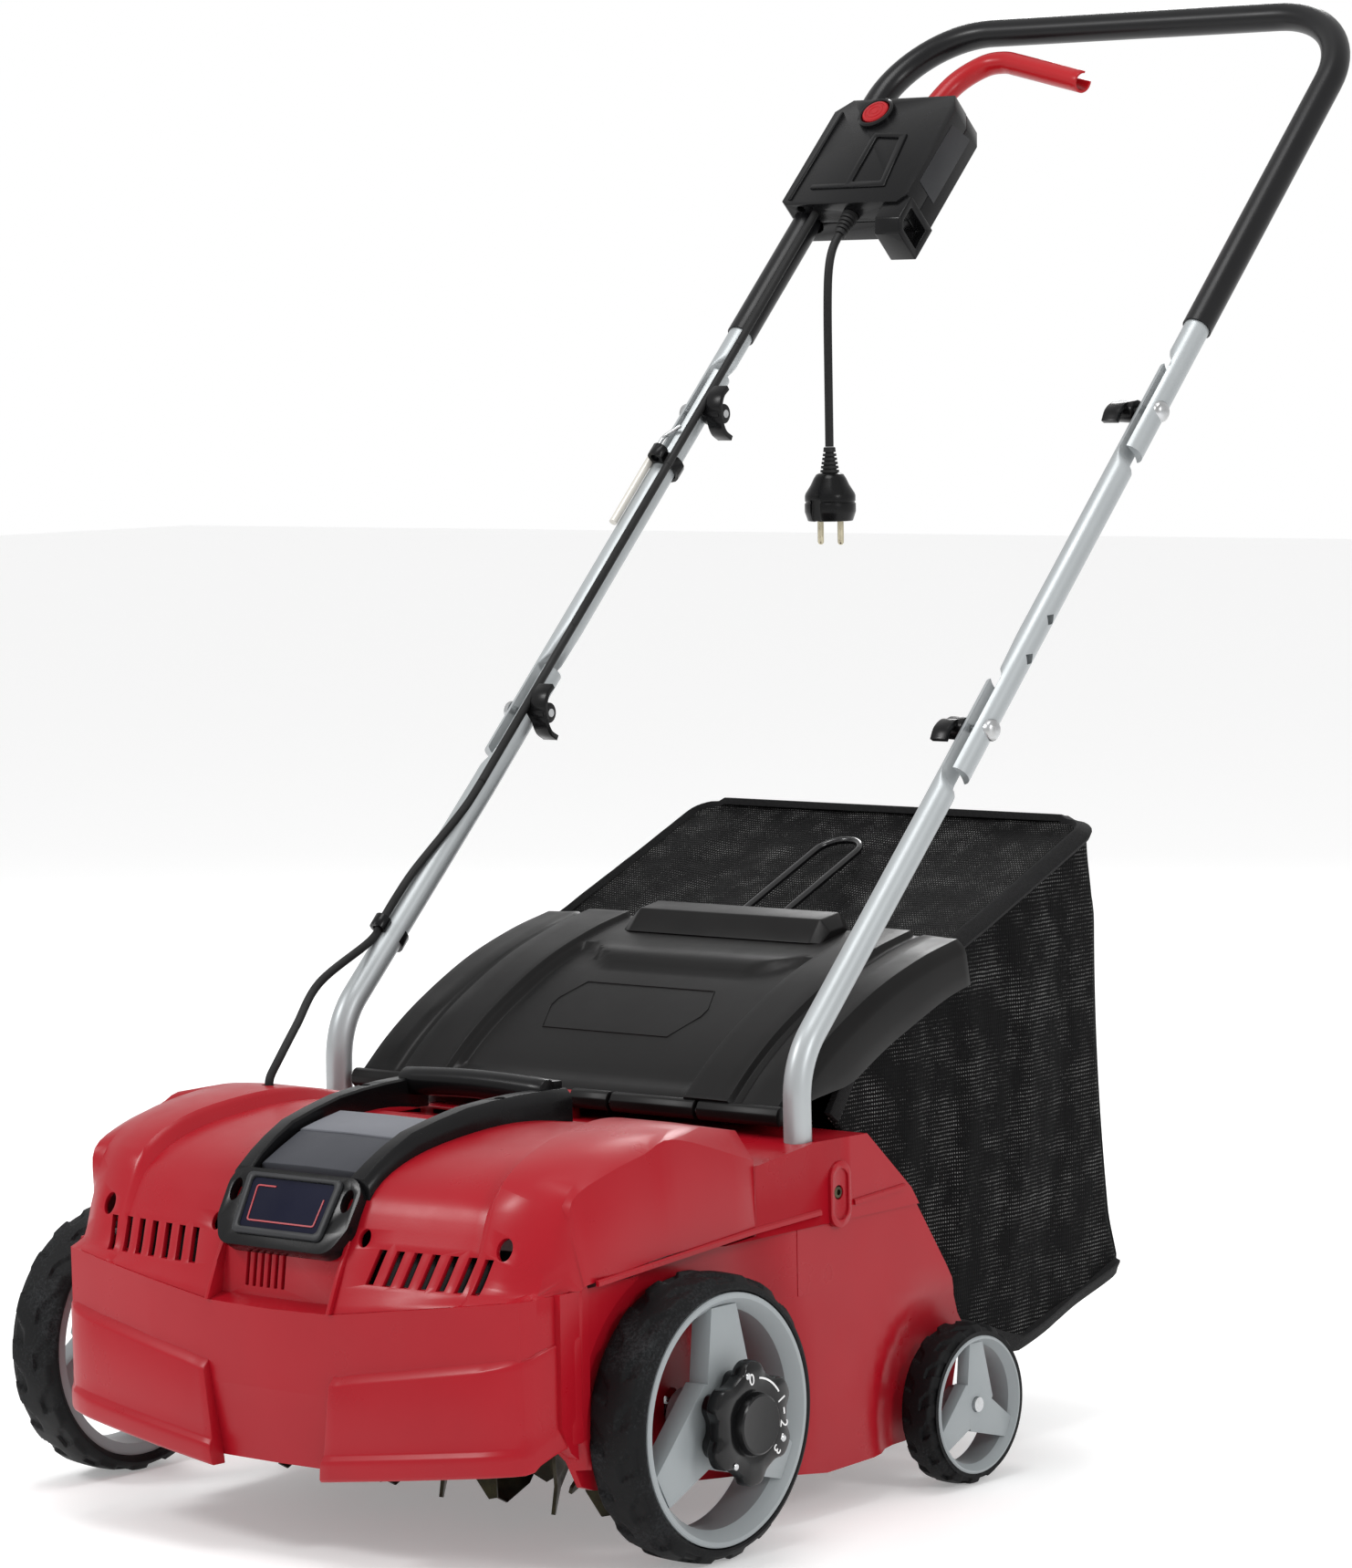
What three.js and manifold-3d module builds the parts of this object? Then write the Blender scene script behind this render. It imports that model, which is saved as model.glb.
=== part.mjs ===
// Electric lawn dethatcher (scarifier) on four wheels, with a folding push handle and a collection bag.
// Millimetres, +Z up. The machine's front faces -Y, the handle leans back towards +Y,
// and the depth dial is on the +X side. The body is modelled with the front axle over y = 0
// and the whole model is then centred over the origin at the end.
import * as THREE from 'three';
import { mergeVertices } from 'three/addons/utils/BufferGeometryUtils.js';
import Module from 'manifold-3d';

const wasm = await Module();
wasm.setup();

// ---------- driving dimensions ----------
const GAP = 0.3;                 // air between pieces that touch
const WALL = 4;                  // moulded housing wall
const BODY_HALF = 216;           // half width of hood, bumper and upper deck
const DECK_HALF = 202;           // half width of the deck below the wheel-arch ledge
const BOW = 24;                  // how far the front bows back at the sides
const SEAM_Y = 72;               // where the hood ends and the rear deck begins
const ARCH_Z = 194;              // underside of the wheel-arch ledge

const FRONT = { y: 0, z: 92, radius: 92, rim: 80.7, inner: 205, outer: 249, stub: 6 };
// The left front wheel stands further out than the right one, on a longer stub.
const FRONT_LEFT = { ...FRONT, inner: 262, outer: 306 };
const REAR = { y: 285, z: 54.4, radius: 54.4, rim: 46.5, inner: 208, outer: 238, stub: 5 };
const AXLE_LIFT = 9;             // height range that the depth dial gives the front axle
const CRANK = { y: -48, z: 112, x0: 187, x1: 197 };

const ROLLER = { y: 38, z: 74, tip: 69, half: 158, shaft: 9, discs: 14 };
const BEARING = { x0: 163.5, x1: 172.5, radius: 18 };
const MOTOR = { y: -38, z: 224.5, radius: 31, x0: -138, x1: 52, shaft: 4 };
const BELT = { x0: -183.5, x1: -175.5, thick: 2.5, motorPulley: 12, rollerPulley: 34 };

const TUBE_X = 203;              // centre line of each handle tube
const TUBE_R = 9.3;
const GRIP_R = 10.75;            // black sleeve on the upper handle
const SLOPE = THREE.MathUtils.degToRad(45.3);
const LOWER_BOLT = { y: 342, z: 504 };
const FOLD_GAP = 296;            // from the lower to the upper bolts, along the tubes
const HANDLE_TOP = 702;          // from the lower bolts to the crossbar, along the tubes
const LAP = { below: 41, above: 38 };   // flattened lap of two tubes around a bolt
const GRIP_START = 377;
const BASE_Y = 136;              // where the lower tubes stand in the deck
const CORNER_R = 75;

const BOX = { x0: -221, x1: -104, s0: 497, s1: 611, half: 20 };   // switch box, in handle axes
const BUTTON = { x: -178, s: 594, radius: 11, travel: 4 };
const LEVER_PIVOT = { x: -150, s: 585 };
const RELIEF = { x: -160, s0: 476, n: 7 };    // bend relief sleeve of the mains lead
const LEAD_R = 3.25;             // mains lead

const CABLE_R = 3;               // motor cable
const CABLE_N = 14.6;            // it runs this far above the left tube's centre line
const CABLE_EXIT = { x: -158, y: 18, z: 269 };
const CLIP_S = [-210, 242];      // the two clips that hold it to the tube
const SPLIT = [-46, 200];        // where the motor cable's own pieces part, clear of the folds

const FLAP_HINGE = { y: 138, z: 262 };
const FLAP_HALF = 188;
const BAG_HALF = 180;

// ---------- materials ----------
const finish = (color, roughness, metalness) =>
  new THREE.MeshStandardMaterial({ color, roughness, metalness });
const redPlastic = finish(0xab1b2a, 0.38, 0);
const blackPlastic = finish(0x17181a, 0.5, 0);
const greyPlastic = finish(0x969da0, 0.45, 0);
const slatePlastic = finish(0x5a5f66, 0.5, 0);
const silverPaint = finish(0xa9b0b4, 0.35, 0.6);
const rubber = finish(0x141416, 0.8, 0);
const steel = finish(0x8f9498, 0.35, 1);
const darkSteel = finish(0x3a3632, 0.5, 1);
const fabric = finish(0x121214, 0.95, 0);
const brass = finish(0xc9a45c, 0.35, 1);

// ---------- solids ----------
const AXES = {
  x: new THREE.Matrix4().makeBasis(
    new THREE.Vector3(0, 1, 0), new THREE.Vector3(0, 0, 1), new THREE.Vector3(1, 0, 0)),
  y: new THREE.Matrix4().makeBasis(
    new THREE.Vector3(0, 0, 1), new THREE.Vector3(1, 0, 0), new THREE.Vector3(0, 1, 0)),
  z: new THREE.Matrix4(),
};

function shapeOf(points) {
  return new THREE.Shape(points.map(([u, v]) => new THREE.Vector2(u, v)));
}

// An outline extruded along an axis. The outline's two numbers are (y, z) for x, (z, x) for y
// and (x, y) for z.
function prism(axis, shape, from, to, steps = 1) {
  const outline = Array.isArray(shape) ? shapeOf(shape) : shape;
  const geometry = new THREE.ExtrudeGeometry(outline, { depth: to - from, steps, bevelEnabled: false });
  geometry.translate(0, 0, from);
  return geometry.applyMatrix4(AXES[axis]);
}

function box(x0, x1, y0, y1, z0, z1) {
  const geometry = new THREE.BoxGeometry(x1 - x0, y1 - y0, z1 - z0);
  return geometry.translate((x0 + x1) / 2, (y0 + y1) / 2, (z0 + z1) / 2);
}

// A cylinder along an axis between two stations, centred on (u, v) in that axis's outline plane.
function rod(axis, from, to, u, v, radius, sides = 20) {
  const geometry = new THREE.CylinderGeometry(radius, radius, to - from, sides);
  geometry.rotateX(Math.PI / 2);
  geometry.translate(u, v, (from + to) / 2);
  return geometry.applyMatrix4(AXES[axis]);
}

// A body of revolution about an axis through (u, v): profile points are (radius, station).
function turned(axis, profile, u, v, sides = 32) {
  const points = profile.map(([r, h]) => new THREE.Vector2(r, h));
  const geometry = new THREE.LatheGeometry(points, sides);
  geometry.rotateX(Math.PI / 2);
  geometry.translate(u, v, 0);
  return geometry.applyMatrix4(AXES[axis]);
}

function solid(geometry) {
  const bare = new THREE.BufferGeometry();
  bare.setAttribute('position', geometry.getAttribute('position').clone());
  if (geometry.index) bare.setIndex(geometry.index.clone());
  const merged = mergeVertices(bare, 1e-4);
  const kept = [];
  const index = merged.index.array;
  for (let i = 0; i < index.length; i += 3) {
    const [a, b, c] = [index[i], index[i + 1], index[i + 2]];
    if (a !== b && b !== c && c !== a) kept.push(a, b, c);
  }
  const mesh = new wasm.Mesh({
    numProp: 3,
    vertProperties: new Float32Array(merged.getAttribute('position').array),
    triVerts: new Uint32Array(kept),
  });
  let body = new wasm.Manifold(mesh);
  if (body.volume() < 0) {
    for (let i = 0; i < kept.length; i += 3) [kept[i], kept[i + 1]] = [kept[i + 1], kept[i]];
    mesh.triVerts = new Uint32Array(kept);
    body = new wasm.Manifold(mesh);
  }
  return body;
}

const isSolid = (item) => typeof item.subtract === 'function';
const asSolid = (item) => (isSolid(item) ? item : solid(item));

function join(...items) {
  return items.map(asSolid).reduce((sum, item) => sum.add(item));
}

function cut(base, ...tools) {
  return tools.map(asSolid).reduce((rest, tool) => rest.subtract(tool), asSolid(base));
}

function geometryOf(item) {
  const { vertProperties, triVerts } = asSolid(item).getMesh();
  const geometry = new THREE.BufferGeometry();
  geometry.setAttribute('position', new THREE.BufferAttribute(new Float32Array(vertProperties), 3));
  geometry.setIndex(new THREE.BufferAttribute(new Uint32Array(triVerts), 1));
  geometry.computeVertexNormals();
  return geometry;
}

function piece(name, item, material) {
  const mesh = new THREE.Mesh(geometryOf(item), material);
  mesh.name = name;
  return mesh;
}

// Moves every vertex of a geometry by a function of its place.
function warp(geometry, move) {
  const position = geometry.getAttribute('position');
  const point = new THREE.Vector3();
  for (let i = 0; i < position.count; i++) {
    point.fromBufferAttribute(position, i);
    move(point);
    position.setXYZ(i, point.x, point.y, point.z);
  }
  return geometry;
}

// The housing's front is bowed: the sides stand back from the middle, and this fades out rearwards.
function bow(geometry) {
  return warp(geometry, (p) => {
    const fade = THREE.MathUtils.clamp((40 - p.y) / 100, 0, 1);
    p.y += BOW * (p.x / BODY_HALF) ** 2 * fade;
  });
}

// An outline moved inwards (distance > 0) or an open line moved to its left.
function offsetLine(points, distance, closed) {
  const count = points.length;
  return points.map(([u, v], i) => {
    const before = points[closed ? (i + count - 1) % count : Math.max(i - 1, 0)];
    const after = points[closed ? (i + 1) % count : Math.min(i + 1, count - 1)];
    const first = new THREE.Vector2(u - before[0], v - before[1]).normalize();
    const second = new THREE.Vector2(after[0] - u, after[1] - v).normalize();
    if (first.length() === 0) first.copy(second);
    if (second.length() === 0) second.copy(first);
    const mean = first.clone().add(second).normalize();
    const reach = distance / Math.max(mean.dot(first), 0.4);
    return [u - mean.y * reach, v + mean.x * reach];
  });
}

// The strip between two offsets of an open line, as an outline.
function band(points, near, far) {
  return [...offsetLine(points, near, false), ...offsetLine(points, far, false).reverse()];
}

// ---------- tubes along a path ----------
// A rail is a curve that gives back its own stations, so straight runs cost no extra rings.
class Rail extends THREE.Curve {
  constructor(stations) {
    super();
    this.stations = stations;
  }

  getPoint(t) {
    const place = t * (this.stations.length - 1);
    const i = Math.min(Math.floor(place), this.stations.length - 2);
    return this.stations[i].clone().lerp(this.stations[i + 1], place - i);
  }

  getPointAt(u) {
    return this.getPoint(u);
  }

  getSpacedPoints() {
    return this.stations.map((p) => p.clone());
  }

  getTangentAt(u) {
    const last = this.stations.length - 1;
    const i = Math.round(u * last);
    const before = this.stations[Math.max(i - 1, 0)];
    const at = this.stations[i];
    const after = this.stations[Math.min(i + 1, last)];
    const tangent = new THREE.Vector3();
    if (i > 0) tangent.add(at.clone().sub(before).normalize());
    if (i < last) tangent.add(after.clone().sub(at).normalize());
    return tangent.normalize();
  }
}

// Corner points joined by straight runs, with each inner corner rounded to a radius.
function roundedPath(points, radius, turns = 6) {
  const corners = points.map((p) => new THREE.Vector3(...p));
  const stations = [corners[0]];
  for (let i = 1; i < corners.length - 1; i++) {
    const inwards = corners[i].clone().sub(corners[i - 1]).normalize();
    const outwards = corners[i + 1].clone().sub(corners[i]).normalize();
    const turn = inwards.angleTo(outwards);
    const side = outwards.clone().sub(inwards.clone().multiplyScalar(Math.cos(turn))).normalize();
    const start = corners[i].clone().addScaledVector(inwards, -radius * Math.tan(turn / 2));
    for (let k = 0; k <= turns; k++) {
      const angle = (turn * k) / turns;
      stations.push(start.clone()
        .addScaledVector(inwards, radius * Math.sin(angle))
        .addScaledVector(side, radius * (1 - Math.cos(angle))));
    }
  }
  stations.push(corners.at(-1));
  return stations;
}

function splinePath(points, count) {
  return new THREE.CatmullRomCurve3(points.map((p) => new THREE.Vector3(...p)), false, 'centripetal')
    .getSpacedPoints(count);
}

function circle(radius, sides) {
  return Array.from({ length: sides }, (_, i) => {
    const angle = (2 * Math.PI * i) / sides;
    return [radius * Math.cos(angle), radius * Math.sin(angle)];
  });
}

function tube(stations, radius, sides = 12, bore = 0) {
  const section = shapeOf(circle(radius, sides));
  if (bore > 0) section.holes.push(shapeOf(circle(bore, sides).reverse()));
  return new THREE.ExtrudeGeometry(section, {
    steps: stations.length - 1, extrudePath: new Rail(stations), curveSegments: 1,
  });
}

// ---------- housing ----------
// (y, z) outlines, going round the same way as y turns to z.
const DECK_OUTLINE = [
  [-151, 62], [-60, 50], [60, 40], [147, 29], [248, 32], [298, 44], [314, 103], [240, 206],
  [192, 248], [BASE_Y, 249], [SEAM_Y + GAP, 241], [SEAM_Y, 196], [-82, 188], [-118, 176], [-157, 164],
  [-156, 110],
];
const HOOD_TOP = [[-148, 190], [-134, 210], [-118, 238], [-80, 256], [-30, 266], [20, 270], [SEAM_Y, 262]];
const HOOD_OUTLINE = [
  ...HOOD_TOP, [SEAM_Y, 197.2], [-82, 189.2], [-118, 177.2], [-155.5, 165.6],
].reverse();
const VENT = { count: 7, first: 79, pitch: 13.5, width: 5, z0: 184, z1: 202 };
const TRAY = { half: 50, y0: 6, y1: 56, floor: 250 };

const sides = [['left', -1], ['right', 1]];

function span(side, near, far) {
  return side > 0 ? [near, far] : [-far, -near];
}

function deckShell() {
  const outer = bow(prism('x', DECK_OUTLINE, -BODY_HALF, BODY_HALF, 8));
  const inner = bow(prism('x', offsetLine(DECK_OUTLINE, WALL, true), -DECK_HALF + WALL, DECK_HALF - WALL, 8));
  const underside = bow(prism('x', [[-147, 80], [-147, 0], [289, 0], [289, 80]],
    -DECK_HALF + WALL, DECK_HALF - WALL, 8));
  const outlet = prism('x', [[190, 190], [300, 84], [330, 96], [235, 222]], -160, 160);
  let shell = cut(outer, inner, underside, outlet);
  for (const [, side] of sides) {
    const [a, b] = span(side, DECK_HALF, BODY_HALF + WALL);
    shell = cut(shell, prism('x', [[-97, 0], [345, 0], [345, ARCH_Z], [-97, ARCH_Z]], a, b));
    const [p, q] = span(side, BEARING.x0 + 1, BEARING.x1 - 1);
    const hanger = prism('x', [[8, 50], [68, 50], [72, 192], [4, 189.5]], p, q);
    shell = join(shell, hanger);
    const [m, n] = span(side, 150, 190);
    shell = cut(shell,
      rod('x', m, n, ROLLER.y, ROLLER.z, BEARING.radius + GAP, 24),
      rod('z', 170, 260, side * TUBE_X, BASE_Y, TUBE_R + GAP, 16),
      axleSlot(side),
      rod('x', ...span(side, 150, 220), REAR.y, REAR.z, REAR.stub + GAP, 16),
      rod('x', ...span(side, BODY_HALF - 3, BODY_HALF + 1), 160, 214, 6, 16));
  }
  const beltSlot = box(BELT.x0 - 3, BELT.x1 + 3, -66, 28, 180, 204);
  const lug = join(box(-10, 10, FLAP_HINGE.y - 6, FLAP_HINGE.y + 6, 246, FLAP_HINGE.z),
    rod('x', -10, 10, FLAP_HINGE.y, FLAP_HINGE.z, 6, 16));
  return cut(join(cut(shell, beltSlot), lug), rod('x', -12, 12, FLAP_HINGE.y, FLAP_HINGE.z, 2.8, 12));
}

// Upright slot in the deck's side that the front axle's stub rises in.
function axleSlot(side) {
  const r = FRONT.stub + 1.2;
  const [a, b] = span(side, 180, 220);
  return join(
    rod('x', a, b, FRONT.y, FRONT.z, r, 16),
    rod('x', a, b, FRONT.y, FRONT.z + AXLE_LIFT, r, 16),
    box(a, b, FRONT.y - r, FRONT.y + r, FRONT.z, FRONT.z + AXLE_LIFT));
}

function hood() {
  const outer = bow(prism('x', HOOD_OUTLINE, -BODY_HALF, BODY_HALF, 10));
  const inner = bow(prism('x', offsetLine(HOOD_OUTLINE, WALL, true), -BODY_HALF + WALL, BODY_HALF - WALL, 10));
  const underside = bow(prism('x', [[-146, 182], [-146, 150], [66, 150], [66, 205], [-82, 198]],
    -BODY_HALF + WALL, BODY_HALF - WALL, 10));
  const { half, y0, y1, floor } = TRAY;
  const tray = box(-half - WALL, half + WALL, y0 - WALL, y1 + WALL, floor - WALL, 266);
  const trayInside = box(-half, half, y0, y1, floor, 290);
  let shell = cut(join(cut(outer, inner, underside), tray), trayInside);
  for (const [, side] of sides) {
    for (let i = 0; i < VENT.count; i++) {
      const x = side * (VENT.first + i * VENT.pitch);
      shell = cut(shell, box(x - VENT.width / 2, x + VENT.width / 2, -170, -95, VENT.z0, VENT.z1));
    }
    shell = cut(shell,
      rod('y', -170, -100, 206, side * 63, 4, 10),
      rod('y', -170, -95, 205, side * 171, 5, 10));
  }
  return cut(shell, rod('z', 240, 290, CABLE_EXIT.x, CABLE_EXIT.y, 4.2, 10));
}


// The carry handle's arms spread apart towards the rear.
function spread(geometry) {
  return warp(geometry, (p) => {
    const rearward = THREE.MathUtils.clamp((p.y + 120) / 180, 0, 1);
    p.x += Math.sign(p.x) * Math.min(Math.abs(p.x) / 40, 1) * 12 * rearward;
  });
}

const CARRY_TOP = [[-141, 200], [-134, 210], [-118, 238], [-80, 256], [-30, 266], [20, 270], [66, 271]];

function carryHandle() {
  const arms = sides.map(([, side]) =>
    spread(bow(prism('x', band(CARRY_TOP, 1, 12), ...span(side, 43, 57), 2))));
  const bracket = spread(bow(prism('x', band(CARRY_TOP.slice(0, 3), 1, 9), -56, 56, 8)));
  const grip = rod('x', -60, 60, 50, 281, 9.5, 16);
  return join(...arms, bracket, grip);
}

function carryPanel() {
  const line = [[-112, 241.5], [-80, 256], [-30, 266], [-4, 268]];
  return bow(prism('x', band(line, 1, 6), -42.5, 42.5, 4));
}

function badgePlate() {
  const line = offsetLine([[-132, 213], [-120, 234]], 9.4, false);
  return bow(prism('x', band(line, 0, 1.6), -36, 36, 4));
}

// ---------- rear flap ----------
const FLAP_TOP = [[138, 268], [165, 290], [200, 312], [250, 336], [300, 352], [342, 361]];

function rearFlap() {
  const top = prism('x', band(FLAP_TOP, 0, -WALL), -FLAP_HALF, FLAP_HALF);
  const skirtLine = [[138, 266], [165, 288], [200, 310], [250, 334], [300, 350], [342, 359]];
  const skirt = [...skirtLine, [342, 330], [290, 318], [235, 292], [190, 262], [150, 256]];
  const skirts = sides.map(([, side]) => prism('x', skirt, ...span(side, FLAP_HALF - 3.5, FLAP_HALF)));
  const barrel = rod('x', -FLAP_HALF, FLAP_HALF, FLAP_HINGE.y, FLAP_HINGE.z, 6, 16);
  const pull = prism('x', [[312, 354], [344, 360], [350, 364], [344, 373], [324, 371]], -86, 86);
  return cut(join(top, ...skirts, barrel, pull),
    rod('x', -190, 190, FLAP_HINGE.y, FLAP_HINGE.z, 2.8, 12),
    box(-10.5, 10.5, FLAP_HINGE.y - 8, FLAP_HINGE.y + 9, 250, 285));
}

// ---------- collection bag ----------
const BAG_OUTLINE = [
  [200, 254], [252, 208], [322, 112], [336, 92], [412, 68], [533, 106], [515, 427], [340, 354], [300, 340],
  [245, 316],
];

function bag() {
  const outer = prism('x', BAG_OUTLINE, -BAG_HALF, BAG_HALF);
  const inner = prism('x', offsetLine(BAG_OUTLINE, 3, true), -BAG_HALF + 3, BAG_HALF - 3);
  const mouth = prism('x', [[180, 245], [235, 190], [305, 95], [329, 122], [262, 216], [209, 263]],
    -BAG_HALF + 3, BAG_HALF - 3);
  return cut(outer, inner, mouth);
}

function bagFrame() {
  const [top, foot] = [[228, 283], [334, 134]];
  const x = BAG_HALF - 8;
  return tube(roundedPath([[-x, ...foot], [-x, ...top], [x, ...top], [x, ...foot]], 20, 4), 2.5, 8);
}

function bagHandle() {
  const corners = [[-18, 362, 368], [-18, 462, 410], [18, 462, 410], [18, 362, 368]];
  return tube(roundedPath(corners, 17.5, 5), 2.5, 8);
}

// ---------- wheels ----------
// Three spokes sweep out of a broad middle: one edge of each is nearly radial, the other slants.
function rim(side, w, hub) {
  const at = (near, far) => span(side, near, far);
  const width = w.outer - w.inner;
  const spoke = [[-0.24, 0], [-0.15, 0.95], [0.16, 0.95], [0.4, 0.06], [0.2, -0.2]];
  const parts = [
    ringX(...at(w.inner + width * 0.12, w.outer), w.y, w.z, w.rim * 0.9, w.rim, 28),
    rod('x', ...at(w.inner + 6, w.outer - 5), w.y, w.z, hub, 20),
  ];
  for (let i = 0; i < 3; i++) {
    const outline = spoke.map(([across, out]) => [side * across * w.rim, out * w.rim]);
    const arm = prism('x', side > 0 ? outline : outline.reverse(), ...at(w.outer - width * 0.4, w.outer - 5));
    arm.rotateX((2 * Math.PI * i) / 3);
    parts.push(arm.translate(0, w.y, w.z));
  }
  return cut(join(...parts), rod('x', ...at(w.inner - 5, w.outer + 5), w.y, w.z, w.stub + GAP, 16));
}

function tyre(side, w) {
  const { radius, inner, outer } = w;
  const bead = w.rim + GAP;
  const profile = [[bead, inner + 3], [radius - 4, inner], [radius, inner + 7], [radius, outer - 8],
    [radius - 4, outer - 1], [bead, outer - 1], [bead, inner + 3]];
  const geometry = turned('x', profile, w.y, w.z, 28);
  return side > 0 ? geometry : warp(geometry, (p) => { p.x = -p.x; });
}

function frontAxle() {
  const parts = [rod('x', -CRANK.x1, CRANK.x1, CRANK.y, CRANK.z, 6, 12)];
  for (const [, side] of sides) {
    const reach = side > 0 ? 262 : 313;
    parts.push(rod('x', ...span(side, CRANK.x0, reach), FRONT.y, FRONT.z, FRONT.stub, 16));
    const arm = box(...span(side, CRANK.x0, CRANK.x1), -9, 9, 0, Math.hypot(CRANK.y, CRANK.z - FRONT.z));
    arm.rotateX(Math.atan2(-CRANK.y, CRANK.z - FRONT.z));
    parts.push(arm.translate(0, FRONT.y, FRONT.z));
  }
  parts.push(rod('x', 1 - FRONT_LEFT.inner, -220, FRONT.y, FRONT.z, 11, 16));
  return join(...parts);
}

function depthDial() {
  const lobes = Array.from({ length: 36 }, (_, i) => {
    const angle = (2 * Math.PI * i) / 36;
    const r = 37.5 + 2.5 * Math.cos(6 * angle);
    return [FRONT.y + r * Math.cos(angle), FRONT.z + r * Math.sin(angle)];
  });
  const body = join(prism('x', lobes, 250, 270), rod('x', 249.5, 275, FRONT.y, FRONT.z, 19, 24));
  return cut(body, rod('x', 248, 262.4, FRONT.y, FRONT.z, FRONT.stub + GAP, 16));
}

function hubCap() {
  return cut(rod('x', -317, -306.5, FRONT.y, FRONT.z, 17, 24),
    rod('x', -313.4, -305, FRONT.y, FRONT.z, FRONT.stub + GAP, 16));
}

// ---------- drive ----------
function tineRoller() {
  const parts = [rod('x', -187, BEARING.x1 + 4, ROLLER.y, ROLLER.z, ROLLER.shaft, 16)];
  for (let i = 0; i < ROLLER.discs; i++) {
    const x = -ROLLER.half + (2 * ROLLER.half * i) / (ROLLER.discs - 1);
    const star = [];
    for (let k = 0; k < 4; k++) {
      const lead = (Math.PI / 2) * k + (i * Math.PI) / 6.5;
      for (const [r, turn] of [[16, -0.55], [ROLLER.tip, -0.07], [ROLLER.tip, 0.07], [16, 0.55]]) {
        star.push([ROLLER.y + r * Math.cos(lead + turn), ROLLER.z + r * Math.sin(lead + turn)]);
      }
    }
    parts.push(prism('x', star, x - 1.25, x + 1.25));
  }
  return join(...parts);
}

function ringX(x0, x1, y, z, inner, outer, count = 24) {
  return cut(rod('x', x0, x1, y, z, outer, count), rod('x', x0 - 1, x1 + 1, y, z, inner, count));
}

// The outline of a belt round both pulleys: the hull of two circles.
function beltHull(extra) {
  const pulleys = [
    { c: new THREE.Vector2(MOTOR.y, MOTOR.z), r: BELT.motorPulley + extra },
    { c: new THREE.Vector2(ROLLER.y, ROLLER.z), r: BELT.rollerPulley + extra },
  ];
  const run = pulleys[1].c.clone().sub(pulleys[0].c);
  const heading = run.angle();
  const lean = Math.acos((pulleys[0].r - pulleys[1].r) / run.length());
  const points = [];
  const arc = ({ c, r }, from, to, count) => {
    for (let k = 0; k <= count; k++) {
      const angle = from + ((to - from) * k) / count;
      points.push([c.x + r * Math.cos(angle), c.y + r * Math.sin(angle)]);
    }
  };
  arc(pulleys[0], heading + lean, heading + 2 * Math.PI - lean, 12);
  arc(pulleys[1], heading - lean, heading + lean, 16);
  return points;
}

function driveBelt() {
  return cut(prism('x', beltHull(GAP + BELT.thick), BELT.x0, BELT.x1),
    prism('x', beltHull(GAP), BELT.x0 - 1, BELT.x1 + 1));
}

function motorHousing() {
  const can = join(
    rod('x', MOTOR.x0, MOTOR.x1, MOTOR.y, MOTOR.z, MOTOR.radius, 28),
    box(-110, 30, MOTOR.y - 24, MOTOR.y + 24, 193.2, 215));
  return cut(can,
    rod('x', MOTOR.x0 + 8, MOTOR.x1 - 6, MOTOR.y, MOTOR.z, MOTOR.radius - 7, 28),
    rod('x', MOTOR.x0 - 1, MOTOR.x0 + 10, MOTOR.y, MOTOR.z, MOTOR.shaft + 1, 16));
}

function motorRotor() {
  return join(
    rod('x', -186, MOTOR.x1 - 10, MOTOR.y, MOTOR.z, MOTOR.shaft, 16),
    rod('x', MOTOR.x0 + 18, MOTOR.x1 - 18, MOTOR.y, MOTOR.z, MOTOR.radius - 9, 20));
}

// ---------- handle, in axes (x, along the slope, out of the slope) ----------
// The handle group's own y runs up along the tubes from the lower bolts, and z stands out of
// the tubes' plane, forwards and up.
const handle = new THREE.Group();
handle.position.set(0, LOWER_BOLT.y, LOWER_BOLT.z);
handle.rotation.x = SLOPE;

function toHandle(x, y, z) {
  const [dy, dz] = [y - LOWER_BOLT.y, z - LOWER_BOLT.z];
  return [x, dy * Math.cos(SLOPE) + dz * Math.sin(SLOPE), -dy * Math.sin(SLOPE) + dz * Math.cos(SLOPE)];
}

// The lap at a bolt: one tube keeps its inner half there, the other its outer half.
function lapCut(side, bolt, keepInner) {
  const reach = 30;
  const face = 0.15;
  const outerHalf = span(side, TUBE_X - face, TUBE_X + reach);
  const innerHalf = span(side, TUBE_X - reach, TUBE_X + face);
  const [a, b] = keepInner ? outerHalf : innerHalf;
  return box(a, b, bolt - LAP.below - 1, bolt + LAP.above + 1, -reach, reach);
}

function boltHole(side, bolt) {
  return rod('x', ...span(side, TUBE_X - 20, TUBE_X + 20), bolt, 0, 3.3, 12);
}

function lowerTube(side) {
  const x = side * TUBE_X;
  const knee = toHandle(x, BASE_Y, LOWER_BOLT.z - (LOWER_BOLT.y - BASE_Y) * Math.tan(SLOPE));
  const foot = toHandle(x, BASE_Y, 182);
  const path = roundedPath([foot, knee, [x, LAP.above - 1, 0]], 60, 6);
  return cut(tube(path, TUBE_R), lapCut(side, 0, true), boltHole(side, 0));
}

function middleTube(side) {
  const x = side * TUBE_X;
  const path = [new THREE.Vector3(x, -LAP.below + 1, 0), new THREE.Vector3(x, FOLD_GAP + LAP.above - 1, 0)];
  return cut(tube(path, TUBE_R), lapCut(side, 0, false), lapCut(side, FOLD_GAP, true),
    boltHole(side, 0), boltHole(side, FOLD_GAP));
}

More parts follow.
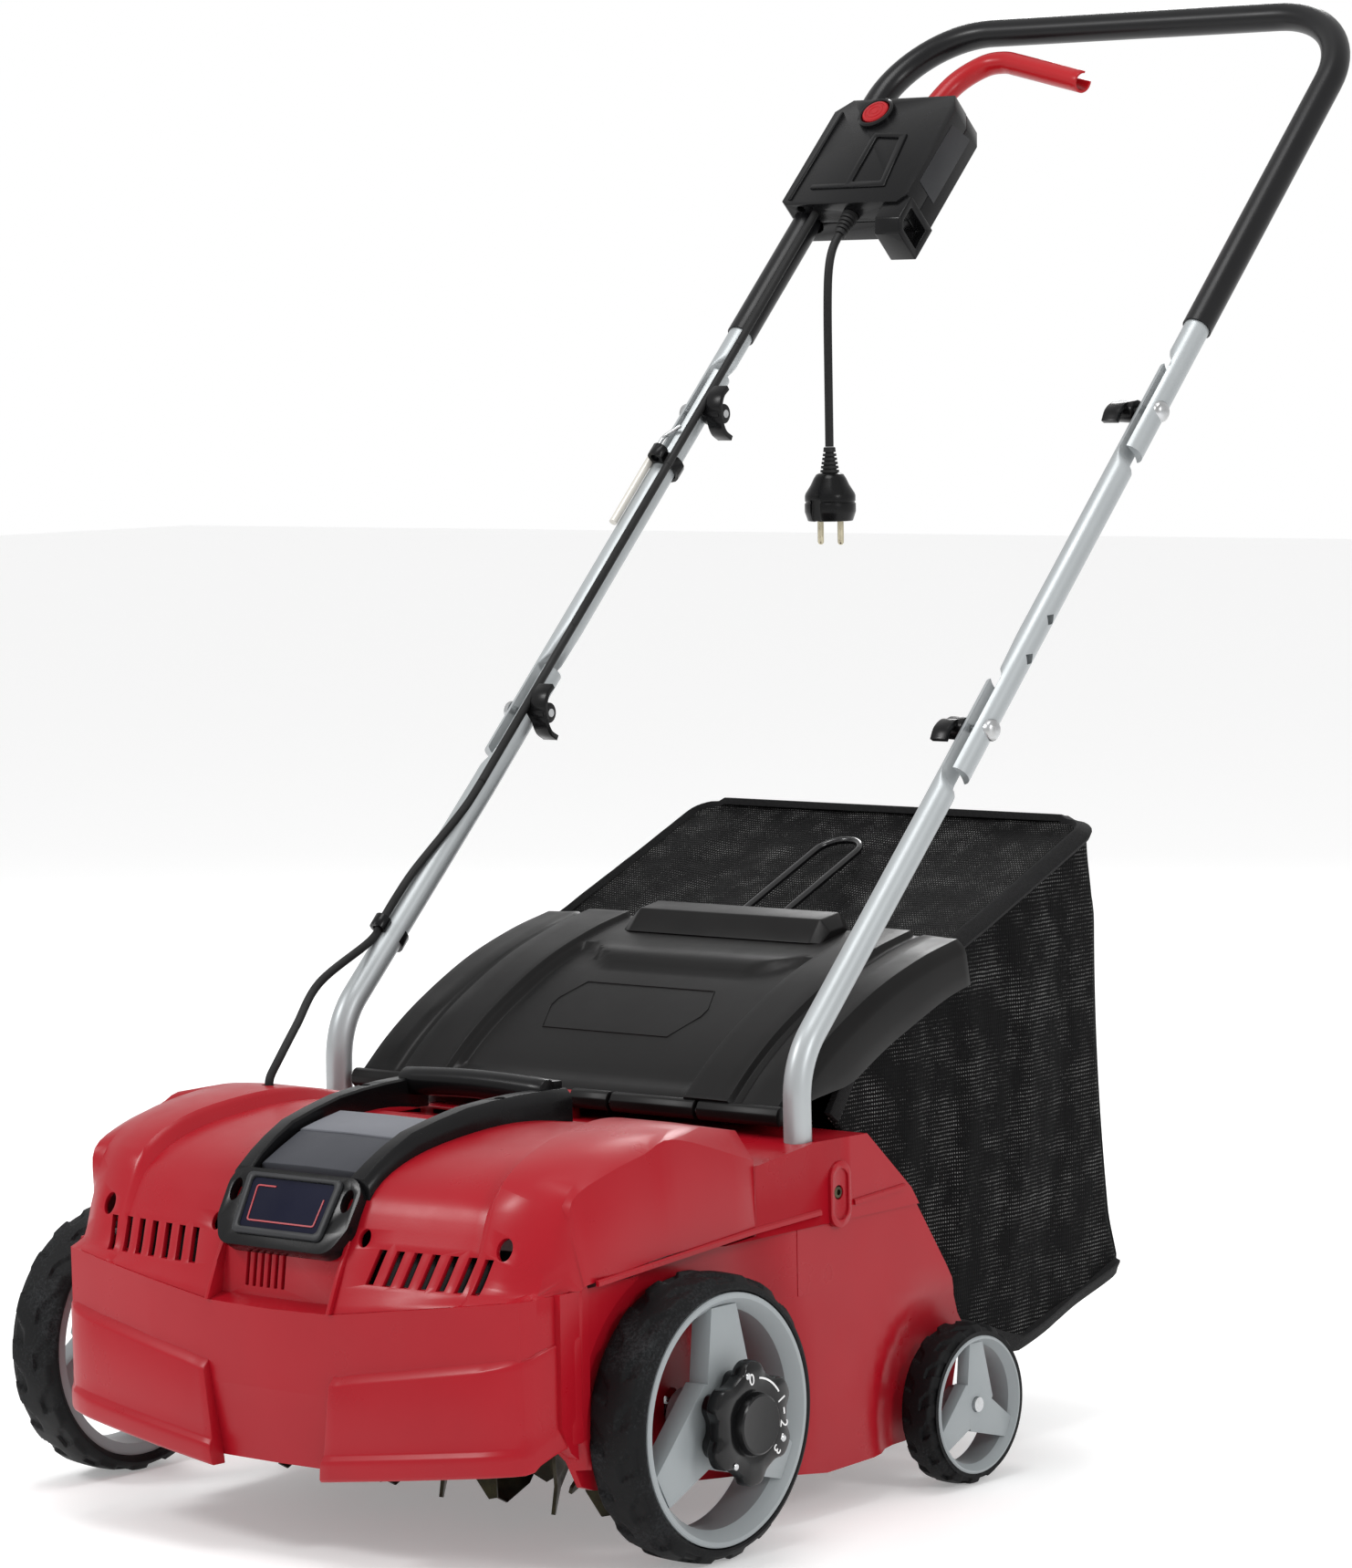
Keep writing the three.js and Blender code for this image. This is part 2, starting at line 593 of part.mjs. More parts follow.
const GRIP_PATH = roundedPath([
  [TUBE_X, GRIP_START, 0], [TUBE_X, HANDLE_TOP, 0], [-TUBE_X, HANDLE_TOP, 0], [-TUBE_X, GRIP_START, 0],
], CORNER_R, 8);

function upperHandle() {
  const start = FOLD_GAP - LAP.below + 1;
  const path = [new THREE.Vector3(TUBE_X, start, 0), ...GRIP_PATH.slice(1, -1),
    new THREE.Vector3(-TUBE_X, start, 0)];
  let body = solid(tube(path, TUBE_R));
  for (const [, side] of sides) {
    body = cut(body, lapCut(side, FOLD_GAP, false), boltHole(side, FOLD_GAP));
  }
  return body;
}

function gripCover() {
  return tube(GRIP_PATH, GRIP_R, 12, TUBE_R + GAP);
}

// Round-headed bolt from the outer face of the lap inwards.
function foldBolt(side, bolt) {
  const outer = TUBE_X + TUBE_R + GAP;
  const dome = [[0, outer], [7, outer], [6, outer + 2.4], [3, outer + 4], [0, outer + 4.4]];
  const head = turned('x', dome, bolt, 0, 16);
  if (side < 0) warp(head, (p) => { p.x = -p.x; });
  return join(head, rod('x', ...span(side, TUBE_X - 27, outer + 1), bolt, 0, 3, 12));
}

function wingNut(side, bolt) {
  const [a, b] = span(side, TUBE_X - 25, TUBE_X - TUBE_R - 0.5);
  const [c, d] = span(side, TUBE_X - 25, TUBE_X - TUBE_R - 5);
  const wings = box(c, d, -15.5, 15.5, -3, 3);
  wings.rotateX(THREE.MathUtils.degToRad(side > 0 ? 50 : -40));
  wings.translate(0, bolt, 0);
  return cut(join(rod('x', a, b, bolt, 0, 7, 16), wings),
    rod('x', a - 5, b + 5, bolt, 0, 3 + GAP, 12));
}

function cableClip(s) {
  const x = -TUBE_X;
  const ring = cut(rod('y', s - 5, s + 5, 0, x, TUBE_R + 2.6, 16),
    rod('y', s - 6, s + 6, 0, x, TUBE_R + GAP, 16));
  const eye = cut(rod('y', s - 5, s + 5, CABLE_N, x, 6.2, 12), rod('y', s - 6, s + 6, CABLE_N, x, 3.6, 12));
  return join(cut(ring, rod('y', s - 6, s + 6, CABLE_N, x, 3.6, 12)), cut(eye,
    rod('y', s - 6, s + 6, 0, x, TUBE_R + GAP, 16)));
}

// ---------- switch box ----------

function boxOutline() {
  const { x0, x1, s0, s1 } = BOX;
  return [
    [x0, s0 + 4], [x0 + 5, s0], [x1 - 6, s0], [x1, s0 + 8],
    [x1, s1 - 16], [x1 - 8, s1], [x0 + 12, s1], [x0, s1 - 12],
  ];
}

function switchHalf(front) {
  const [n0, n1] = front ? [GAP / 2, BOX.half] : [-BOX.half, -GAP / 2];
  const [c0, c1] = front ? [-1, BOX.half - 2.5] : [-BOX.half + 2.5, 1];
  const inside = box(-190, BOX.x1 - 9, BOX.s0 + 4, BOX.s1 - 4.5, c0, c1);
  let half = cut(prism('z', boxOutline(), n0, n1), inside,
    rod('y', BOX.s0 - 5, BOX.s1 + 5, 0, -TUBE_X, GRIP_R + GAP, 16),
    box(-172, -124, BOX.s1 - 10, BOX.s1 + 5, -9, 9));
  if (front) {
    half = cut(half, rod('z', 0, 40, BUTTON.x, BUTTON.s, BUTTON.radius + GAP, 20));
    half = cut(half, rod('y', BOX.s0 - 5, BOX.s0 + 20, 7, RELIEF.x, 4.5, 12),
      rod('y', BOX.s0 - 5, BOX.s0 + 20, CABLE_N, -TUBE_X, CABLE_R + 0.6, 12));
  }
  return half;
}

function safetyButton() {
  return rod('z', 13, BOX.half + BUTTON.travel, BUTTON.x, BUTTON.s, BUTTON.radius, 20);
}

function switchLever() {
  const path = splinePath([[-150, 588, 0], [-149, 612, 0], [-140, 645, 0], [-122, 664, 0], [-104, 667, 0]], 7);
  path.push(new THREE.Vector3(-20, 641, 0));
  return join(rod('z', -7, 7, LEVER_PIVOT.x, LEVER_PIVOT.s, 9, 20), tube(path, 8, 12));
}

function switchBlock() {
  return box(-142, -116, 520, 560, -12, 12);
}

function cordHook() {
  const ring = [[465, -19], [465, 10], [474, 18], [496.6, 18], [496.6, -19]];
  const hole = [[471, -13], [471, 8], [476, 12], [490, 12], [490, -13]];
  return cut(prism('x', ring, -130, -106), prism('x', hole, -131, -105));
}

// ---------- cords ----------
function strainRelief() {
  const profile = [[0, RELIEF.s0], [4.6, RELIEF.s0], [6.6, 492], [6.6, BOX.s0 - GAP], [4.1, BOX.s0 - GAP],
    [4.1, BOX.s0 + 8], [0, BOX.s0 + 8]];
  return turned('y', profile, RELIEF.n, RELIEF.x, 14);
}

// The mains lead leaves the sleeve along the tubes and then hangs straight down.
function fromHandle(x, s, n) {
  return [x, LOWER_BOLT.y + s * Math.cos(SLOPE) - n * Math.sin(SLOPE),
    LOWER_BOLT.z + s * Math.sin(SLOPE) + n * Math.cos(SLOPE)];
}

const LEAD_START = fromHandle(RELIEF.x, RELIEF.s0 - GAP, RELIEF.n);
const LEAD_STEPS = [
  [0, 0], [-4, -4.2], [-7.6, -9], [-10.6, -15], [-12.8, -22], [-14.4, -31], [-15.3, -42], [-15.8, -56],
  [-16, -72], [-16, -90], [-16, -110], [-16, -130], [-16, -148], [-16, -160],
];
const LEAD_POINTS = LEAD_STEPS.map(([dy, dz]) => [LEAD_START[0], LEAD_START[1] + dy, LEAD_START[2] + dz]);

function mainsLead() {
  return tube(splinePath(LEAD_POINTS, 14), LEAD_R, 10);
}

function mainsPlug() {
  const [x, y, z] = LEAD_POINTS.at(-1);
  const top = z - GAP;
  const sleeve = turned('z', [[0, top - 24], [8, top - 24], [5, top], [0, top]], x, y, 14);
  const body = turned('z', [[0, top - 56], [17, top - 56], [19.5, top - 50], [19.5, top - 36], [12, top - 22],
    [0, top - 20]], x, y, 20);
  const pins = sides.map(([, side]) => rod('z', top - 75, top - 50, x + side * 9.5, y, 2.4, 10));
  return join(sleeve, body, ...pins);
}

function motorLeadLower() {
  const along = (s) => fromHandle(-TUBE_X, s, CABLE_N);
  const { x, y, z } = CABLE_EXIT;
  return tube(splinePath([
    [x, y, z + 1], [x - 0.6, y + 2, z + 9], [x - 4, y + 14, z + 19], [x - 20, y + 50, z + 38],
    [x - 38, y + 94, z + 62], along(-226), along(-210), along(-190), along(-120), along(SPLIT[0]),
  ], 16), CABLE_R, 8);
}

function motorLeadRun(from, to) {
  const start = new THREE.Vector3(-TUBE_X, from + GAP, CABLE_N);
  return tube([start, new THREE.Vector3(-TUBE_X, to, CABLE_N)], CABLE_R, 8);
}

// ---------- assembly ----------
const machine = new THREE.Group();
machine.add(
  piece('deck_shell', deckShell(), redPlastic),
  piece('hood', hood(), redPlastic),
  piece('carry_handle', carryHandle(), blackPlastic),
  piece('carry_panel', carryPanel(), slatePlastic),
  piece('badge_plate', badgePlate(), blackPlastic),
  piece('rear_flap', rearFlap(), blackPlastic),
  piece('flap_hinge_pin', rod('x', -186, 186, FLAP_HINGE.y, FLAP_HINGE.z, 2.5, 12), steel),
  piece('bag', bag(), fabric),
  piece('bag_frame', bagFrame(), darkSteel),
  piece('bag_handle', bagHandle(), blackPlastic),
  piece('motor_housing', motorHousing(), darkSteel),
  piece('motor_rotor', motorRotor(), steel),
  piece('motor_pulley', ringX(BELT.x0, BELT.x1, MOTOR.y, MOTOR.z, MOTOR.shaft + GAP, BELT.motorPulley), steel),
  piece('drive_belt', driveBelt(), rubber),
  piece('roller_pulley',
    ringX(BELT.x0, BELT.x1, ROLLER.y, ROLLER.z, ROLLER.shaft + GAP, BELT.rollerPulley, 32), blackPlastic),
  piece('tine_roller', tineRoller(), darkSteel),
  piece('front_axle', frontAxle(), steel),
  piece('rear_axle', rod('x', -REAR.outer + 1, REAR.outer - 1, REAR.y, REAR.z, REAR.stub, 16), steel),
  piece('depth_dial', depthDial(), blackPlastic),
  piece('hub_cap', hubCap(), blackPlastic),
  piece('mains_lead', mainsLead(), rubber),
  piece('mains_plug', mainsPlug(), rubber),
  piece('motor_lead_lower', motorLeadLower(), rubber),
);
for (const [name, side] of sides) {
  machine.add(
    piece(`roller_bearing_${name}`, ringX(...span(side, BEARING.x0, BEARING.x1), ROLLER.y, ROLLER.z,
      ROLLER.shaft + GAP, BEARING.radius), steel),
    piece(`front_rim_${name}`, rim(side, side > 0 ? FRONT : FRONT_LEFT, 17), greyPlastic),
    piece(`front_tyre_${name}`, tyre(side, side > 0 ? FRONT : FRONT_LEFT), rubber),
    piece(`rear_rim_${name}`, rim(side, REAR, 11), greyPlastic),
    piece(`rear_tyre_${name}`, tyre(side, REAR), rubber),
    piece(`deck_screw_${name}`,
      rod('x', ...span(side, BODY_HALF - 2.7, BODY_HALF - 0.5), 160, 214, 4.5, 12), steel),
  );
  handle.add(
    piece(`lower_tube_${name}`, lowerTube(side), silverPaint),
    piece(`middle_tube_${name}`, middleTube(side), silverPaint),
    piece(`lower_bolt_${name}`, foldBolt(side, 0), steel),
    piece(`upper_bolt_${name}`, foldBolt(side, FOLD_GAP), steel),
    piece(`lower_nut_${name}`, wingNut(side, 0), blackPlastic),
    piece(`upper_nut_${name}`, wingNut(side, FOLD_GAP), blackPlastic),
  );
}
handle.add(
  piece('upper_handle', upperHandle(), silverPaint),
  piece('grip_cover', gripCover(), blackPlastic),
  piece('switch_box_front', switchHalf(true), blackPlastic),
  piece('switch_box_back', switchHalf(false), blackPlastic),
  piece('safety_button', safetyButton(), redPlastic),
  piece('switch_lever', switchLever(), redPlastic),
  piece('switch_block', switchBlock(), slatePlastic),
  piece('cord_hook', cordHook(), blackPlastic),
  piece('strain_relief', strainRelief(), rubber),
  piece('cable_clip_lower', cableClip(CLIP_S[0]), blackPlastic),
  piece('cable_clip_upper', cableClip(CLIP_S[1]), blackPlastic),
  piece('motor_lead_middle', motorLeadRun(SPLIT[0], SPLIT[1]), rubber),
  piece('motor_lead_upper', motorLeadRun(SPLIT[1], BOX.s0 + 6), rubber),
);
machine.add(handle);

// Centre the machine over the origin, measured without the free mains lead and its plug.
const model = new THREE.Group();
model.add(machine);
model.updateMatrixWorld(true);
const extent = new THREE.Box3();
machine.traverse((item) => {
  if (item.isMesh && !['mains_lead', 'mains_plug', 'strain_relief'].includes(item.name)) {
    extent.union(new THREE.Box3().setFromObject(item, true));
  }
});
const centre = extent.getCenter(new THREE.Vector3());
machine.position.set(-centre.x, -centre.y, -extent.min.z);

export default model;
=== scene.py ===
import math

import bmesh
import bpy
from mathutils import Matrix, Vector


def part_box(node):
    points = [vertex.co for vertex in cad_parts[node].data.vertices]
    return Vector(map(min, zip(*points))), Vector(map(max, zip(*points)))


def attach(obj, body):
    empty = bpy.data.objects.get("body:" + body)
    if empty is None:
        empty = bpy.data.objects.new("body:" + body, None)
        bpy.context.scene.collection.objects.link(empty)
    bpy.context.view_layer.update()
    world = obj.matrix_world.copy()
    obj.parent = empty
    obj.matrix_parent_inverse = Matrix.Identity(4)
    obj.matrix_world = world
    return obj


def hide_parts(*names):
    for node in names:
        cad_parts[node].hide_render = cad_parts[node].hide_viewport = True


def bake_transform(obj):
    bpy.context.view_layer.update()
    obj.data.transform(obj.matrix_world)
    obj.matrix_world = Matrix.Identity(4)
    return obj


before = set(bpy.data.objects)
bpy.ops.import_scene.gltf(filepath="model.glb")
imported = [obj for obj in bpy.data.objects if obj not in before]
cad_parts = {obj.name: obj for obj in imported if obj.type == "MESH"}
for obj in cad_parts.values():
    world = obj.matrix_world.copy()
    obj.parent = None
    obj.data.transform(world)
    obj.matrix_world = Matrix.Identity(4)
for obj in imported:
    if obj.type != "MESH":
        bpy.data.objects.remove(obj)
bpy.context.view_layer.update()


def middle(node, axis):
    low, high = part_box(node)
    return (low[axis] + high[axis]) / 2


MID_X = (middle("rear_tyre_left", 0) + middle("rear_tyre_right", 0)) / 2
AXLE_Y = middle("front_tyre_right", 1)
BOLT_Y = middle("lower_bolt_right", 1)
BOLT_Z = middle("lower_bolt_right", 2)
SLOPE = math.radians(45.3)
SIDES = (("left", -1), ("right", 1))


def at(x, y, z):
    return Vector((MID_X + x / 1000, AXLE_Y + y / 1000, z / 1000))


def along(x, s, n):
    """A point on the handle: s up the tubes from the lower bolts, n out of the tubes' plane."""
    y = BOLT_Y + (s * math.cos(SLOPE) - n * math.sin(SLOPE)) / 1000
    z = BOLT_Z + (s * math.sin(SLOPE) + n * math.cos(SLOPE)) / 1000
    return Vector((MID_X + x / 1000, y, z))


# ---------- camera ----------
def make_camera():
    azimuth, elevation, roll = 0.67959, 0.08105, -0.01683
    back = Vector((math.sin(azimuth) * math.cos(elevation), -math.cos(azimuth) * math.cos(elevation),
                   math.sin(elevation)))
    level = Vector((math.cos(azimuth), math.sin(azimuth), 0))
    upright = back.cross(level)
    right = math.cos(roll) * level + math.sin(roll) * upright
    up = math.cos(roll) * upright - math.sin(roll) * level
    data = bpy.data.cameras.new("camera")
    data.sensor_fit = "VERTICAL"
    data.sensor_height = 36
    data.lens = 126.91
    data.clip_start = 0.1
    data.clip_end = 60
    camera = bpy.data.objects.new("camera", data)
    bpy.context.collection.objects.link(camera)
    camera.matrix_world = Matrix.Translation(at(2387.93, -2689.97, 773.62)) @ Matrix(
        (right, up, back)).transposed().to_4x4()
    bpy.context.scene.camera = camera
    bpy.context.scene.view_settings.view_transform = "Standard"


make_camera()


# ---------- materials ----------
class Finish:
    """A Principled material with helpers for procedural colour, roughness and relief."""

    def __init__(self, name, colour, roughness, metallic=0.0, coat=0.0, sheen=0.0, gleam=0.5):
        self.material = bpy.data.materials.new(name)
        self.material.use_nodes = True
        self.tree = self.material.node_tree
        self.shader = self.tree.nodes["Principled BSDF"]
        self.colour = colour
        self.roughness = roughness
        self.shader.inputs["Base Color"].default_value = (*colour, 1)
        self.shader.inputs["Roughness"].default_value = roughness
        self.shader.inputs["Metallic"].default_value = metallic
        self.shader.inputs["Specular IOR Level"].default_value = gleam
        self.shader.inputs["Coat Weight"].default_value = coat
        self.shader.inputs["Coat Roughness"].default_value = 0.2
        self.shader.inputs["Sheen Weight"].default_value = sheen
        self.height = None
        coordinates = self.tree.nodes.new("ShaderNodeTexCoord")
        self.where = coordinates.outputs["Object"]
        self.uv = coordinates.outputs["UV"]

    def link(self, source, target):
        self.tree.links.new(source, target)

    def noise(self, scale, detail=3.0, stretch=(1, 1, 1), rough=0.55):
        mapping = self.tree.nodes.new("ShaderNodeMapping")
        mapping.inputs["Scale"].default_value = stretch
        texture = self.tree.nodes.new("ShaderNodeTexNoise")
        texture.inputs["Scale"].default_value = scale
        texture.inputs["Detail"].default_value = detail
        texture.inputs["Roughness"].default_value = rough
        self.link(self.where, mapping.inputs["Vector"])
        self.link(mapping.outputs["Vector"], texture.inputs["Vector"])
        return texture.outputs["Fac"]

    def wave(self, scale, turn=0.0, distortion=0.0, source=None):
        mapping = self.tree.nodes.new("ShaderNodeMapping")
        mapping.inputs["Rotation"].default_value = (0, 0, turn)
        texture = self.tree.nodes.new("ShaderNodeTexWave")
        texture.inputs["Scale"].default_value = scale
        texture.inputs["Distortion"].default_value = distortion
        self.link(source or self.uv, mapping.inputs["Vector"])
        self.link(mapping.outputs["Vector"], texture.inputs["Vector"])
        return texture.outputs["Fac"]

    def spread(self, source, low, high, start=0.3, end=0.7):
        node = self.tree.nodes.new("ShaderNodeMapRange")
        node.inputs["From Min"].default_value = start
        node.inputs["From Max"].default_value = end
        node.inputs["To Min"].default_value = low
        node.inputs["To Max"].default_value = high
        self.link(source, node.inputs["Value"])
        return node.outputs["Result"]

    def math(self, operation, a, b):
        node = self.tree.nodes.new("ShaderNodeMath")
        node.operation = operation
        for socket, value in zip(node.inputs, (a, b)):
            if isinstance(value, (int, float)):
                socket.default_value = value
            else:
                self.link(value, socket)
        return node.outputs["Value"]

    def tint(self, source, other, start=0.35, end=0.65, base=None):
        """The colour goes from the base to other as source goes from start to end."""
        mix = self.tree.nodes.new("ShaderNodeMix")
        mix.data_type = "RGBA"
        factor = self.spread(source, 0, 1, start, end)
        self.link(factor, mix.inputs["Factor"])
        if base is None:
            mix.inputs["A"].default_value = (*self.colour, 1)
        else:
            self.link(base, mix.inputs["A"])
        mix.inputs["B"].default_value = (*other, 1)
        self.link(mix.outputs["Result"], self.shader.inputs["Base Color"])
        return mix.outputs["Result"]

    def vary_roughness(self, source, amount, start=0.3, end=0.7):
        low, high = max(self.roughness - amount, 0.03), min(self.roughness + amount, 1)
        self.link(self.spread(source, low, high, start, end), self.shader.inputs["Roughness"])

    def relief(self, source, strength, distance):
        bump = self.tree.nodes.new("ShaderNodeBump")
        bump.inputs["Strength"].default_value = strength
        bump.inputs["Distance"].default_value = distance
        self.link(source, bump.inputs["Height"])
        if self.height:
            self.link(self.height, bump.inputs["Normal"])
        self.height = bump.outputs["Normal"]
        self.link(self.height, self.shader.inputs["Normal"])
        return self


def moulded(name, colour, roughness, other, grain=900, coat=0.0, strength=0.12, gleam=0.5):
    """Injection-moulded plastic: a fine spark-eroded grain, faint flow marks and uneven gloss."""
    f = Finish(name, colour, roughness, coat=coat, gleam=gleam)
    f.tint(f.noise(7, 4), other, 0.35, 0.7)
    f.vary_roughness(f.noise(23, 5), 0.07)
    f.relief(f.noise(grain, 2), strength, 0.0002)
    f.relief(f.noise(14, 2), 0.08, 0.002)
    return f.material


def make_rubber(name, colour, dust, scale=60, gleam=0.3):
    f = Finish(name, colour, 0.62, gleam=gleam)
    specks = f.noise(scale * 9, 6, rough=0.75)
    patches = f.noise(scale * 0.35, 5)
    f.tint(f.math("MULTIPLY", specks, patches), dust, 0.26, 0.52)
    f.vary_roughness(patches, 0.16)
    f.relief(f.noise(scale * 14, 3), 0.25, 0.0003)
    return f.material


def make_paint(name, colour, roughness, metallic, gleam=0.5, grain=0.1):
    f = Finish(name, colour, roughness, metallic=metallic, coat=0.25 * gleam, gleam=gleam)
    f.tint(f.noise(9, 3), tuple(c * 0.93 for c in colour), 0.4, 0.75)
    f.vary_roughness(f.noise(25, 3), 0.04)
    f.relief(f.noise(1500, 2), grain, 0.0001)
    return f.material


def make_steel(name, colour, roughness, stain, scale=90):
    f = Finish(name, colour, roughness, metallic=1)
    f.tint(f.noise(scale, 6), stain, 0.45, 0.72)
    f.vary_roughness(f.noise(scale * 1.7, 4), 0.14)
    f.relief(f.noise(scale * 8, 3), 0.18, 0.0002)
    return f.material


def make_mesh_cloth(name):
    """Knitted mesh: rows of small open loops, with pale specks painted into its colour as the thread's glints
    (painted highlights). UV is in metres.
    """
    f = Finish(name, (0.0028, 0.0028, 0.003), 0.8, sheen=0.0, gleam=0.08)
    warp = f.wave(150, 0, 0.6)
    weft = f.wave(115, math.pi / 2, 1.0)
    holes = f.math("MULTIPLY", warp, weft)
    patch = f.noise(38, 4)
    # Painted highlight: pale specks in the loops, stronger in the noise patches, stand in for the thread's glints.
    painted_glint = f.math("MULTIPLY", holes, f.noise(900, 2, rough=0.7))
    f.tint(f.math("MULTIPLY", painted_glint, f.spread(patch, 0.35, 1.6)), (0.24, 0.24, 0.235), 0.3, 0.75)
    f.vary_roughness(patch, 0.12)
    f.relief(holes, 0.7, 0.0006)
    f.relief(f.noise(26, 3, (1, 1, 0.25)), 0.35, 0.006)
    return f.material


def make_webbing(name):
    f = Finish(name, (0.003, 0.003, 0.0033), 0.8, sheen=0.05, gleam=0.12)
    ribs = f.wave(330, math.pi / 2, 0.8)
    f.tint(f.math("MULTIPLY", ribs, f.noise(700, 3)), (0.02, 0.02, 0.021), 0.2, 0.6)
    f.relief(ribs, 0.5, 0.0005)
    f.relief(f.noise(60, 3), 0.25, 0.002)
    return f.material


RED = moulded("red_plastic", (0.335, 0.0045, 0.012), 0.32, (0.3, 0.0038, 0.0105), coat=0.05, gleam=0.22)
RED_CONTROL = moulded("red_control", (0.37, 0.005, 0.009), 0.3, (0.33, 0.0045, 0.008), coat=0.1, gleam=0.25)
BLACK = moulded("black_plastic", (0.0035, 0.0035, 0.0038), 0.26, (0.0055, 0.0055, 0.006), 1100, 0.03, 0.12, 0.17)
FLAP_BLACK = moulded("flap_plastic", (0.0035, 0.0032, 0.0032), 0.36, (0.006, 0.0055, 0.0055), 1300, 0.0, 0.15,
                     0.17)
DARK_GREY = moulded("dark_grey_plastic", (0.03, 0.031, 0.034), 0.45, (0.018, 0.0185, 0.02), 600, 0.0, 0.2, 0.25)
GLOSS_BLACK = moulded("dial_plastic", (0.003, 0.003, 0.0033), 0.2, (0.0045, 0.0045, 0.005), 700, 0.1, 0.03, 0.25)
SLATE = moulded("slate_plastic", (0.165, 0.17, 0.19), 0.5, (0.135, 0.14, 0.157), 1500, 0.0, 0.25, 0.15)
SLATE_DARK = moulded("slate_plastic_dark", (0.06, 0.062, 0.072), 0.5, (0.045, 0.047, 0.055), 1500, 0.0, 0.25, 0.15)
NAVY = moulded("badge_field", (0.003, 0.0036, 0.014), 0.5, (0.004, 0.0048, 0.018), 400, 0.0, 0.02, 0.08)
BADGE_LINE = moulded("badge_line", (0.36, 0.012, 0.02), 0.3, (0.3, 0.01, 0.018), 400, 0.3, 0.03)
RIM = moulded("rim_grey", (0.30, 0.325, 0.335), 0.42, (0.265, 0.29, 0.3), 1000, 0.0, 0.12, 0.35)
WHITE = moulded("dial_print", (0.8, 0.8, 0.8), 0.5, (0.7, 0.7, 0.7), 600)
TYRE = make_rubber("tyre_rubber", (0.0038, 0.004, 0.0045), (0.04, 0.042, 0.045), 60, 0.16)
CABLE = make_rubber("cable_rubber", (0.0045, 0.0045, 0.0048), (0.012, 0.012, 0.012), 40, 0.35)
SILVER = make_paint("tube_silver", (0.40, 0.425, 0.435), 0.42, 0.5, 0.6, 0.0)
GRIP = make_paint("grip_black", (0.0038, 0.0038, 0.0045), 0.34, 0.0, 0.25, 0.02)
WIRE = make_paint("black_wire", (0.004, 0.004, 0.0045), 0.18, 0.0)
STEEL = make_steel("steel", (0.52, 0.53, 0.54), 0.26, (0.36, 0.36, 0.35))
DARK_STEEL = make_steel("dark_steel", (0.045, 0.041, 0.032), 0.38, (0.09, 0.085, 0.05), 50)
BRASS = make_steel("plug_pins", (0.45, 0.41, 0.3), 0.24, (0.3, 0.27, 0.2))
CLEAR = make_paint("clip_sleeve", (0.62, 0.6, 0.55), 0.25, 0.1)
CLOTH = make_mesh_cloth("bag_mesh")
WEBBING = make_webbing("bag_tape")


# ---------- mesh helpers ----------
def raw(name, vertices, faces):
    mesh = bpy.data.meshes.new(name)
    mesh.from_pydata([tuple(v) for v in vertices], [], faces)
    mesh.update()
    obj = bpy.data.objects.new(name, mesh)
    bpy.context.collection.objects.link(obj)
    return obj


def face_out(obj):
    work = bmesh.new()
    work.from_mesh(obj.data)
    bmesh.ops.remove_doubles(work, verts=work.verts, dist=1e-6)
    bmesh.ops.recalc_face_normals(work, faces=work.faces)
    work.to_mesh(obj.data)
    work.free()
    return obj


def loft(name, rings, closed=True, caps=True):
    """Quads between rings of equally many points."""
    count = len(rings[0])
    vertices = [p for ring in rings for p in ring]
    faces = []
    last = count if closed else count - 1
    for i in range(len(rings) - 1):
        for j in range(last):
            k = (j + 1) % count
            faces.append((i * count + j, i * count + k, (i + 1) * count + k, (i + 1) * count + j))
    if caps:
        faces.append(tuple(range(count))[::-1])
        faces.append(tuple(range((len(rings) - 1) * count, len(rings) * count)))
    return face_out(raw(name, vertices, faces))


def prism(name, outline, low, high, place, steps=1):
    """The outline (two numbers a point) carried from low to high. place(u, v, w) gives the point."""
    rings = []
    for i in range(steps + 1):
        w = low + (high - low) * i / steps
        rings.append([place(u, v, w) for u, v in outline])
    return loft(name, rings)


def side_view(u, v, w):
    """For prisms that run across the machine: u is back, v is up."""
    return at(w, u, v)


def front_view(u, v, w):
    """For prisms that run from front to back: u is across, v is up."""
    return at(u, w, v)


def handle_face(u, v, w):
    """For prisms that rise from the handle's plane."""
    return along(u, v, w)


def handle_side(u, v, w):
    """For prisms that run across the handle."""
    return along(w, u, v)


def rounded(points, radius, turns=5, closed=True):
    """The polygon with its corners turned to arcs. Points may have two or three numbers."""
    points = [Vector(p) for p in points]
    count = len(points)
    out = []
    for i, p in enumerate(points):
        if not closed and i in (0, count - 1):
            out.append(p)
            continue
        a, b = points[i - 1], points[(i + 1) % count]
        to_a, to_b = (a - p).normalized(), (b - p).normalized()
        angle = math.acos(max(-1, min(1, to_a.dot(to_b))))
        if angle > math.pi - 0.02:
            out.append(p)
            continue
        reach = radius / math.tan(angle / 2)
        reach = min(reach, (a - p).length * 0.49, (b - p).length * 0.49)
        bend = reach * math.tan(angle / 2)
        inward = (to_a + to_b).normalized()
        centre = p + inward * (bend / math.sin(angle / 2))
        start, end = p + to_a * reach - centre, p + to_b * reach - centre
        sweep = math.pi - angle
        for k in range(turns + 1):
            t = k / turns
            spot = start * math.sin((1 - t) * sweep) + end * math.sin(t * sweep)
            out.append(centre + spot / math.sin(sweep))
    return out


